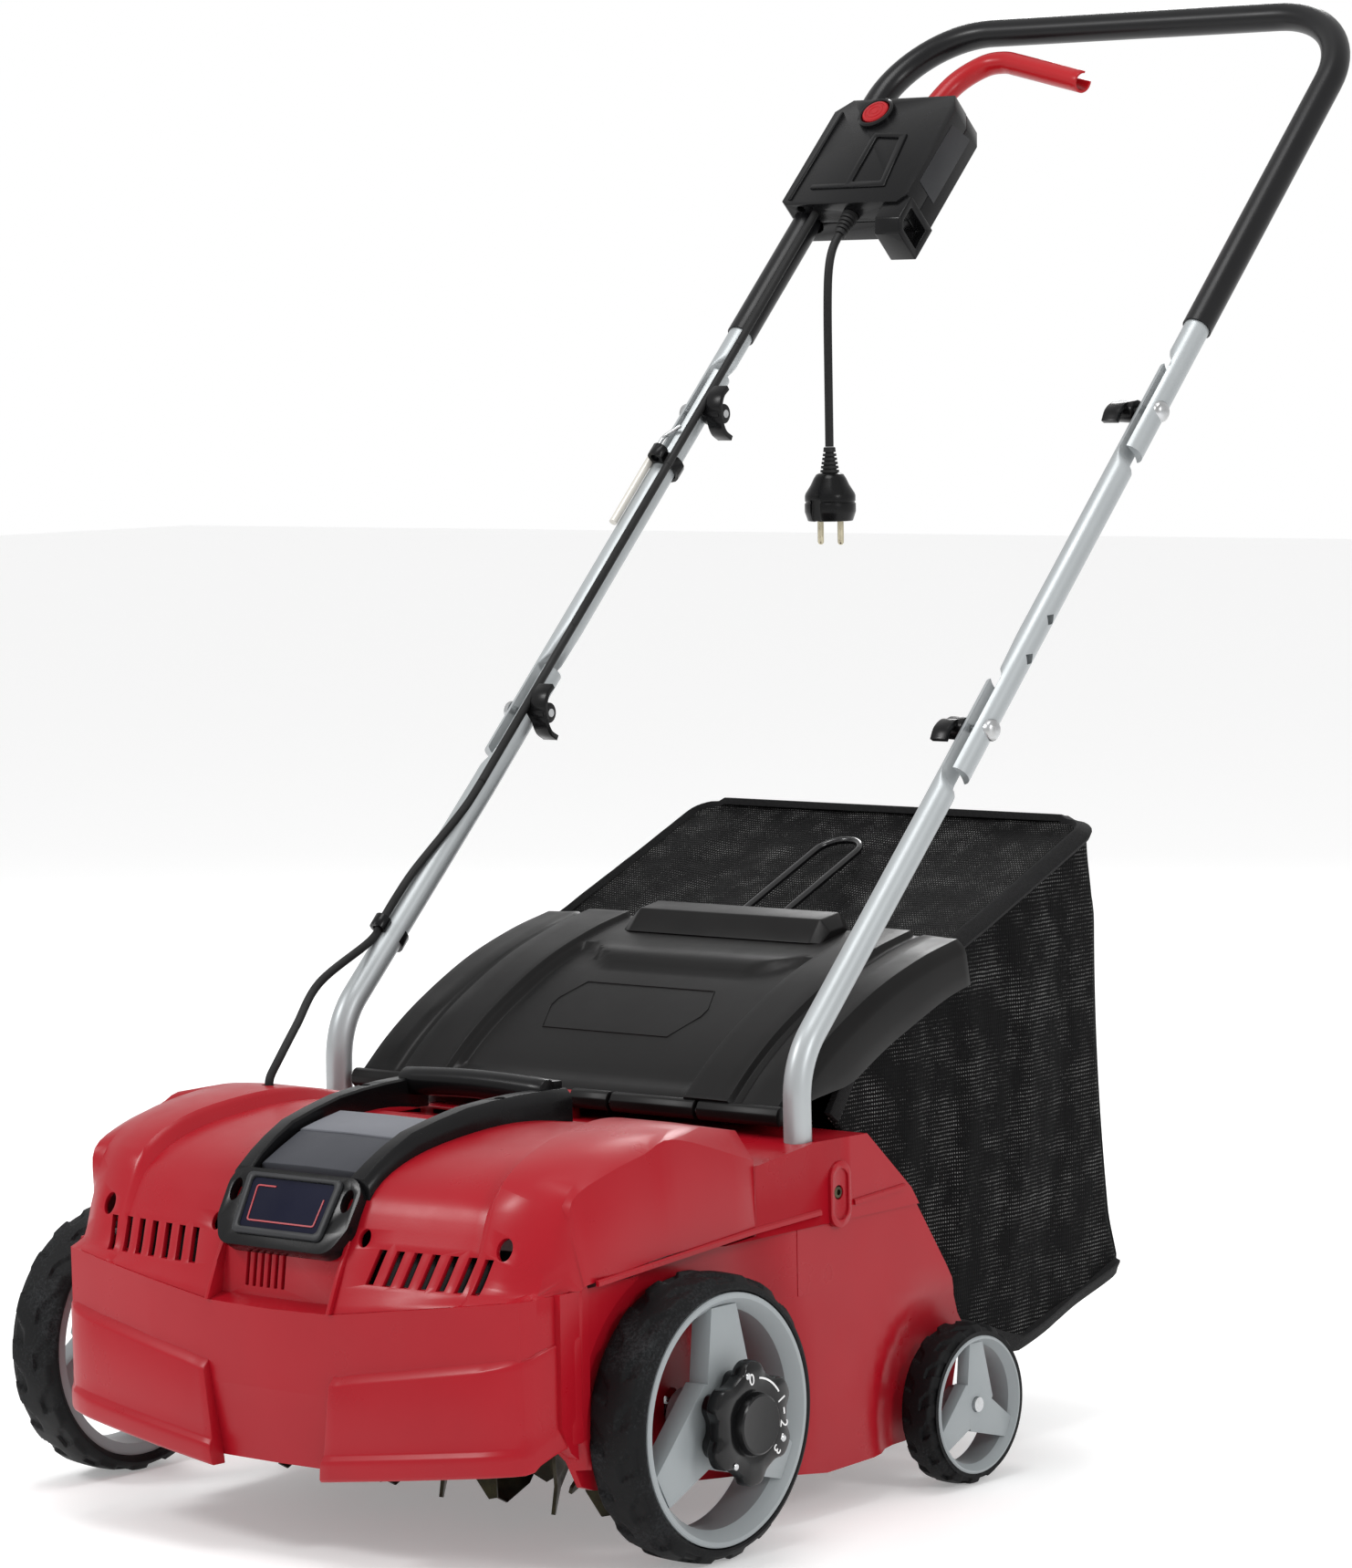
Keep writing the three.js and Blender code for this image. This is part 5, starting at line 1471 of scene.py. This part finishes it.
make_tubes()
make_upper_handle()
FOLDS = (("low", "lower", 0, "chassis"), ("high", "upper", FOLD_GAP, "middle_handle"))
for side_name, side_sign in SIDES:
    for short, full, place, _ in FOLDS:
        wing_nut(f"wing_{short}_{side_name}", side_sign, place, f"nut_{full}_{side_name}",
                 f"{full}_nut_{side_name}")
    for short, full, place, ridden in FOLDS:
        fold_bolt(f"bolt_{short}_{side_name}", side_sign, place, ridden, f"{full}_bolt_{side_name}")


# ---------- switch box ----------
BOX_SIDE = -104
BOX_FACE = 20


def make_switch_box():
    for name in ("box_front", "box_back"):
        node = f"switch_{name}"
        half = soften(copy_of(node, name), 1.6, 3, 30)
        black_part(half, "top_handle", node)
    face = BOX_FACE
    outer = [(-169, 573), (-136, 570), (-129, 513), (-168, 513)]
    inner = [(-163.5, 567.5), (-141.5, 565.5), (-135.5, 519), (-162.5, 519)]
    relief_frame = prism("box_relief", outer, face - 1, face + 1.7, handle_face)
    cut(relief_frame, prism("relief_tool", inner, face - 3, face + 5, handle_face))
    soften(relief_frame, 1.1, 2, 30)
    black_part(relief_frame, "top_handle")
    for name, outline, low, high in (
            ("box_rib", [(-200, 513), (-129, 513), (-129, 517.5), (-200, 517.5)], -1, 1.5),
            ("box_edge", [(-216, 502), (-212.5, 502), (-211.5, 598), (-215, 598)], -1.5, 1.2)):
        rib = prism(name, outline, face + low, face + high, handle_face)
        black_part(soften(rib, 0.9, 2, 30), "top_handle")
    window = prism("box_side_panel", [(523, -9), (592, -9), (584, 15), (523, 15)], BOX_SIDE - 1, BOX_SIDE + 0.5,
                   handle_side)
    keep(soften(window, 0.4, 2, 30), "top_handle", DARK_GREY, "black_plastic")
    collar_place = lambda out, a, b: along(-178 + a, 594 + b, out)
    collar = [(face - 2, 11.4), (face - 2, 15.6), (face + 2.4, 15.2), (face + 3.6, 13.9), (face + 3.6, 12.8),
              (face + 2.6, 11.8), (face + 1, 11.4)]
    rings = [[collar_place(out, r * math.cos(a), r * math.sin(a)) for out, r in collar]
             for a in steps(0, 2 * math.pi, 56)[:-1]]
    keep(ring_loft("button_collar", rings), "top_handle", GLOSS_BLACK, "black_plastic")
    button = [(13, 0.2), (13, 11), (face + 3, 11), (face + 4.0, 10.2), (face + 4.2, 8.6), (face + 3.6, 8.2),
              (face + 3.6, 7.0), (face + 4.1, 6.5), (face + 4.1, 5.0), (face + 3.6, 4.6), (face + 3.6, 3.2),
              (face + 4.0, 2.8), (face + 4.0, 0.2)]
    cap = lathe("button_cap", button, collar_place, 48)
    keep(cap, "button", RED_CONTROL, "red_control", "safety_button", smooth=30)
    hook = soften(copy_of("cord_hook", "cord_hook_loop"), 1.3, 3, 30)
    hook.data.transform(Matrix.Translation(along(6, 8, 0) - along(0, 0, 0)))
    black_part(hook, "top_handle", "cord_hook")


def make_lever():
    """A channel-section lever: its open side faces the crossbar."""
    line = spline([Vector((-150, 590, 0)), Vector((-149, 612, 0)), Vector((-140, 645, 0)), Vector((-122, 664, 0)),
                   Vector((-104, 667.5, 0)), Vector((-88, 663.5, 0))], 9)
    line += [Vector((-88, 663.5, 0)).lerp(Vector((-18, 641, 0)), t) for t in steps(0, 1, 10)[1:]]
    rings = []
    for i, p in enumerate(line):
        a, b = line[max(i - 1, 0)], line[min(i + 1, len(line) - 1)]
        t = (b - a).normalized()
        normal = Vector((-t.y, t.x, 0))
        section = []
        for radius, order in ((8.6, 1), (6.6, -1)):
            angles = steps(math.radians(128), math.radians(412), 22)[::order]
            section += [(radius * math.cos(g), radius * math.sin(g)) for g in angles]
        rings.append([along(p.x + normal.x * v, p.y + normal.y * v, u) for u, v in section])
    lever = loft("lever_channel", rings)
    soften(lever, 0.5, 2, 50)
    keep(lever, "lever", RED_CONTROL, "red_control", "switch_lever", smooth=35)
    hub = lathe("lever_hub", [(-7, 0.2), (-7, 9), (7, 9), (7, 0.2)],
                lambda out, a, b: along(-150 + a, 585 + b, out), 32)
    keep(hub, "lever", RED_CONTROL, "red_control")


make_switch_box()
make_lever()


# ---------- motor lead and its clips ----------
CABLE_N = 14.6
CABLE_R = 3.0
LEAD_ASIDE = 10.5
LEAD_ABOVE = 9.8


def lead_at(s):
    """The motor lead lies on top of the left tubes and crosses to their inner side above the lower clip."""
    t = ramp(s, -185, -80)
    return along(-TUBE_X + LEAD_ASIDE * t, s, CABLE_N + (LEAD_ABOVE - CABLE_N) * t)


def lead_run(name, start, end, count):
    return tube(name, [lead_at(s) for s in steps(start, end, count)], CABLE_R, 14)


def make_motor_lead():
    ex, ey, ez = -158, 18, 269
    rise = [(0, 0, 1), (-0.6, 2, 9), (-4, 14, 19), (-20, 50, 38), (-38, 94, 62)]
    low = spline([at(ex + x, ey + y, ez + z) for x, y, z in rise]
                 + [lead_at(s) for s in (-226, -210, -190, -165, -140, -115, -95, -75)], 8)
    keep(tube("lead_low", low, CABLE_R, 14), "chassis", CABLE, "cable_rubber", "motor_lead_lower")
    before, after = FOLD_GAP - 62, FOLD_GAP + 62
    keep(lead_run("lead_middle", 75, before, 8), "middle_handle", CABLE, "cable_rubber", "motor_lead_middle")
    keep(lead_run("lead_high", after, 503, 8), "top_handle", CABLE, "cable_rubber", "motor_lead_upper")
    for name, a, b, start, end in (("lead_fold_low", "chassis", "middle_handle", -75, 75),
                                   ("lead_fold_high", "middle_handle", "top_handle", before, after)):
        run = lead_run(name, start, end, 60)
        run.data.materials.append(CABLE)
        run.data.polygons.foreach_set("use_smooth", [True] * len(run.data.polygons))
        lead_at(start)
        lead_at(end)
        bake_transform(run)


def make_clips():
    for node, name, body in (("cable_clip_lower", "clip_low", "chassis"),
                             ("cable_clip_upper", "clip_high", "middle_handle")):
        clip = soften(copy_of(node, name), 0.7, 2, 35)
        black_part(clip, body, node)
    rod = tube("clip_sleeve", [along(-TUBE_X - 8.5, s, 10.5) for s in (176, 180, 236, 240)], 3.0, 20)
    keep(rod, "middle_handle", CLEAR, "steel")
    pin = rounded([along(-TUBE_X - 8.5, 236, 10.5), along(-TUBE_X - 8.5, 262, 10.5),
                   along(-TUBE_X + 4, 272, 12.5)], 0.006, 6, False)
    keep(tube("clip_pin", pin, 1.5, 14), "middle_handle", STEEL, "steel")


make_motor_lead()
make_clips()


# ---------- tines ----------
def make_tines():
    """Fourteen discs of four broad points, each point twisted out of its disc's plane, on one shaft."""
    low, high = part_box("tine_roller")
    axis_y = (low[1] + high[1]) / 2
    axis_z = (low[2] + high[2]) / 2
    reach = (high[2] - low[2]) / 2 - 0.0005
    start_x, end_x = low[0] * 1000, high[0] * 1000
    shaft = lathe("tine_shaft", [(start_x, 0.2), (start_x, 8.6), (end_x, 8.6), (end_x, 0.2)],
                  lambda out, a, b: Vector((out / 1000, axis_y + a / 1000, axis_z + b / 1000)), 28)
    keep(shaft, "roller", DARK_STEEL, "dark_steel")
    vertices, faces = [], []
    for disc in range(14):
        x = MID_X + (disc - 6.5) * 0.0243
        for point in range(4):
            turn = math.radians(90 * point + 45 + 21 * (disc % 4) - 12)
            twist = math.radians(34 if (point + disc) % 2 else -34)
            start = len(vertices)
            for r, half in ((0.006, 0.012), (0.022, 0.016), (0.05, 0.0125), (reach, 0.0035)):
                bend = twist * ramp(r, 0.012, 0.04)
                for side in (-1, 1):
                    for face in (-1, 1):
                        across, out = side * half, face * 0.0012
                        u = across * math.cos(bend) - out * math.sin(bend)
                        w = across * math.sin(bend) + out * math.cos(bend)
                        vertices.append((x + w, axis_y + r * math.cos(turn) - u * math.sin(turn),
                                         axis_z + r * math.sin(turn) + u * math.cos(turn)))
            for k in range(3):
                a, b = start + 4 * k, start + 4 * (k + 1)
                faces += [(a + p, a + q, b + q, b + p) for p, q in ((0, 1), (1, 3), (3, 2), (2, 0))]
            faces += [(start, start + 2, start + 3, start + 1), (start + 12, start + 13, start + 15, start + 14)]
    tines = face_out(raw("tine_points", vertices, faces))
    keep(tines, "roller", DARK_STEEL, "dark_steel", "tine_roller")


make_tines()


# ---------- carried-over nodes ----------
for node_name in ("front_axle", "rear_axle", "flap_hinge_pin", "motor_rotor", "motor_pulley",
                  "roller_bearing_left", "roller_bearing_right"):
    paint(node_name, STEEL)
for node_name in ("motor_housing", "roller_pulley", "switch_block"):
    paint(node_name, BLACK)
paint("drive_belt", TYRE)


# ---------- floor and light ----------
def make_stage():
    reach = 14
    corners = [(-reach, -reach, 0), (reach, -reach, 0), (reach, reach, 0), (-reach, reach, 0)]
    floor = raw("floor", corners, [(0, 1, 2, 3)])
    f = Finish("floor_paint", (0.86, 0.86, 0.86), 0.6)
    f.shader.inputs["Emission Color"].default_value = (1, 1, 1, 1)
    f.shader.inputs["Emission Strength"].default_value = 0.27
    f.vary_roughness(f.noise(3, 2), 0.03)
    floor.data.materials.append(f.material)
    world = bpy.context.scene.world or bpy.data.worlds.new("studio")
    bpy.context.scene.world = world
    world.use_nodes = True
    background = world.node_tree.nodes["Background"]
    background.inputs["Color"].default_value = (1, 1, 1, 1)
    # The backdrop is seen as pure white, and lights the object less strongly.
    rays = world.node_tree.nodes.new("ShaderNodeLightPath")
    level = world.node_tree.nodes.new("ShaderNodeMapRange")
    level.inputs["To Min"].default_value = 0.74
    level.inputs["To Max"].default_value = 1.0
    world.node_tree.links.new(rays.outputs["Is Camera Ray"], level.inputs["Value"])
    world.node_tree.links.new(level.outputs["Result"], background.inputs["Strength"])
    target = at(0, 200, 350)
    for name, place, size, power in (("key", (-1.6, -2.4, 2.6), 0.7, 40), ("side", (3.2, -0.6, 1.8), 0.8, 26),
                                     ("top", (0.1, -0.5, 3.2), 1.2, 28), ("rear", (-1.4, 2.6, 2.2), 1.0, 28)):
        data = bpy.data.lights.new(name, "AREA")
        data.shape = "SQUARE"
        data.size = size
        data.energy = power
        lamp = bpy.data.objects.new(name, data)
        bpy.context.collection.objects.link(lamp)
        lamp.location = place
        lamp.rotation_euler = (target - Vector(place)).to_track_quat("-Z", "Y").to_euler()


make_stage()
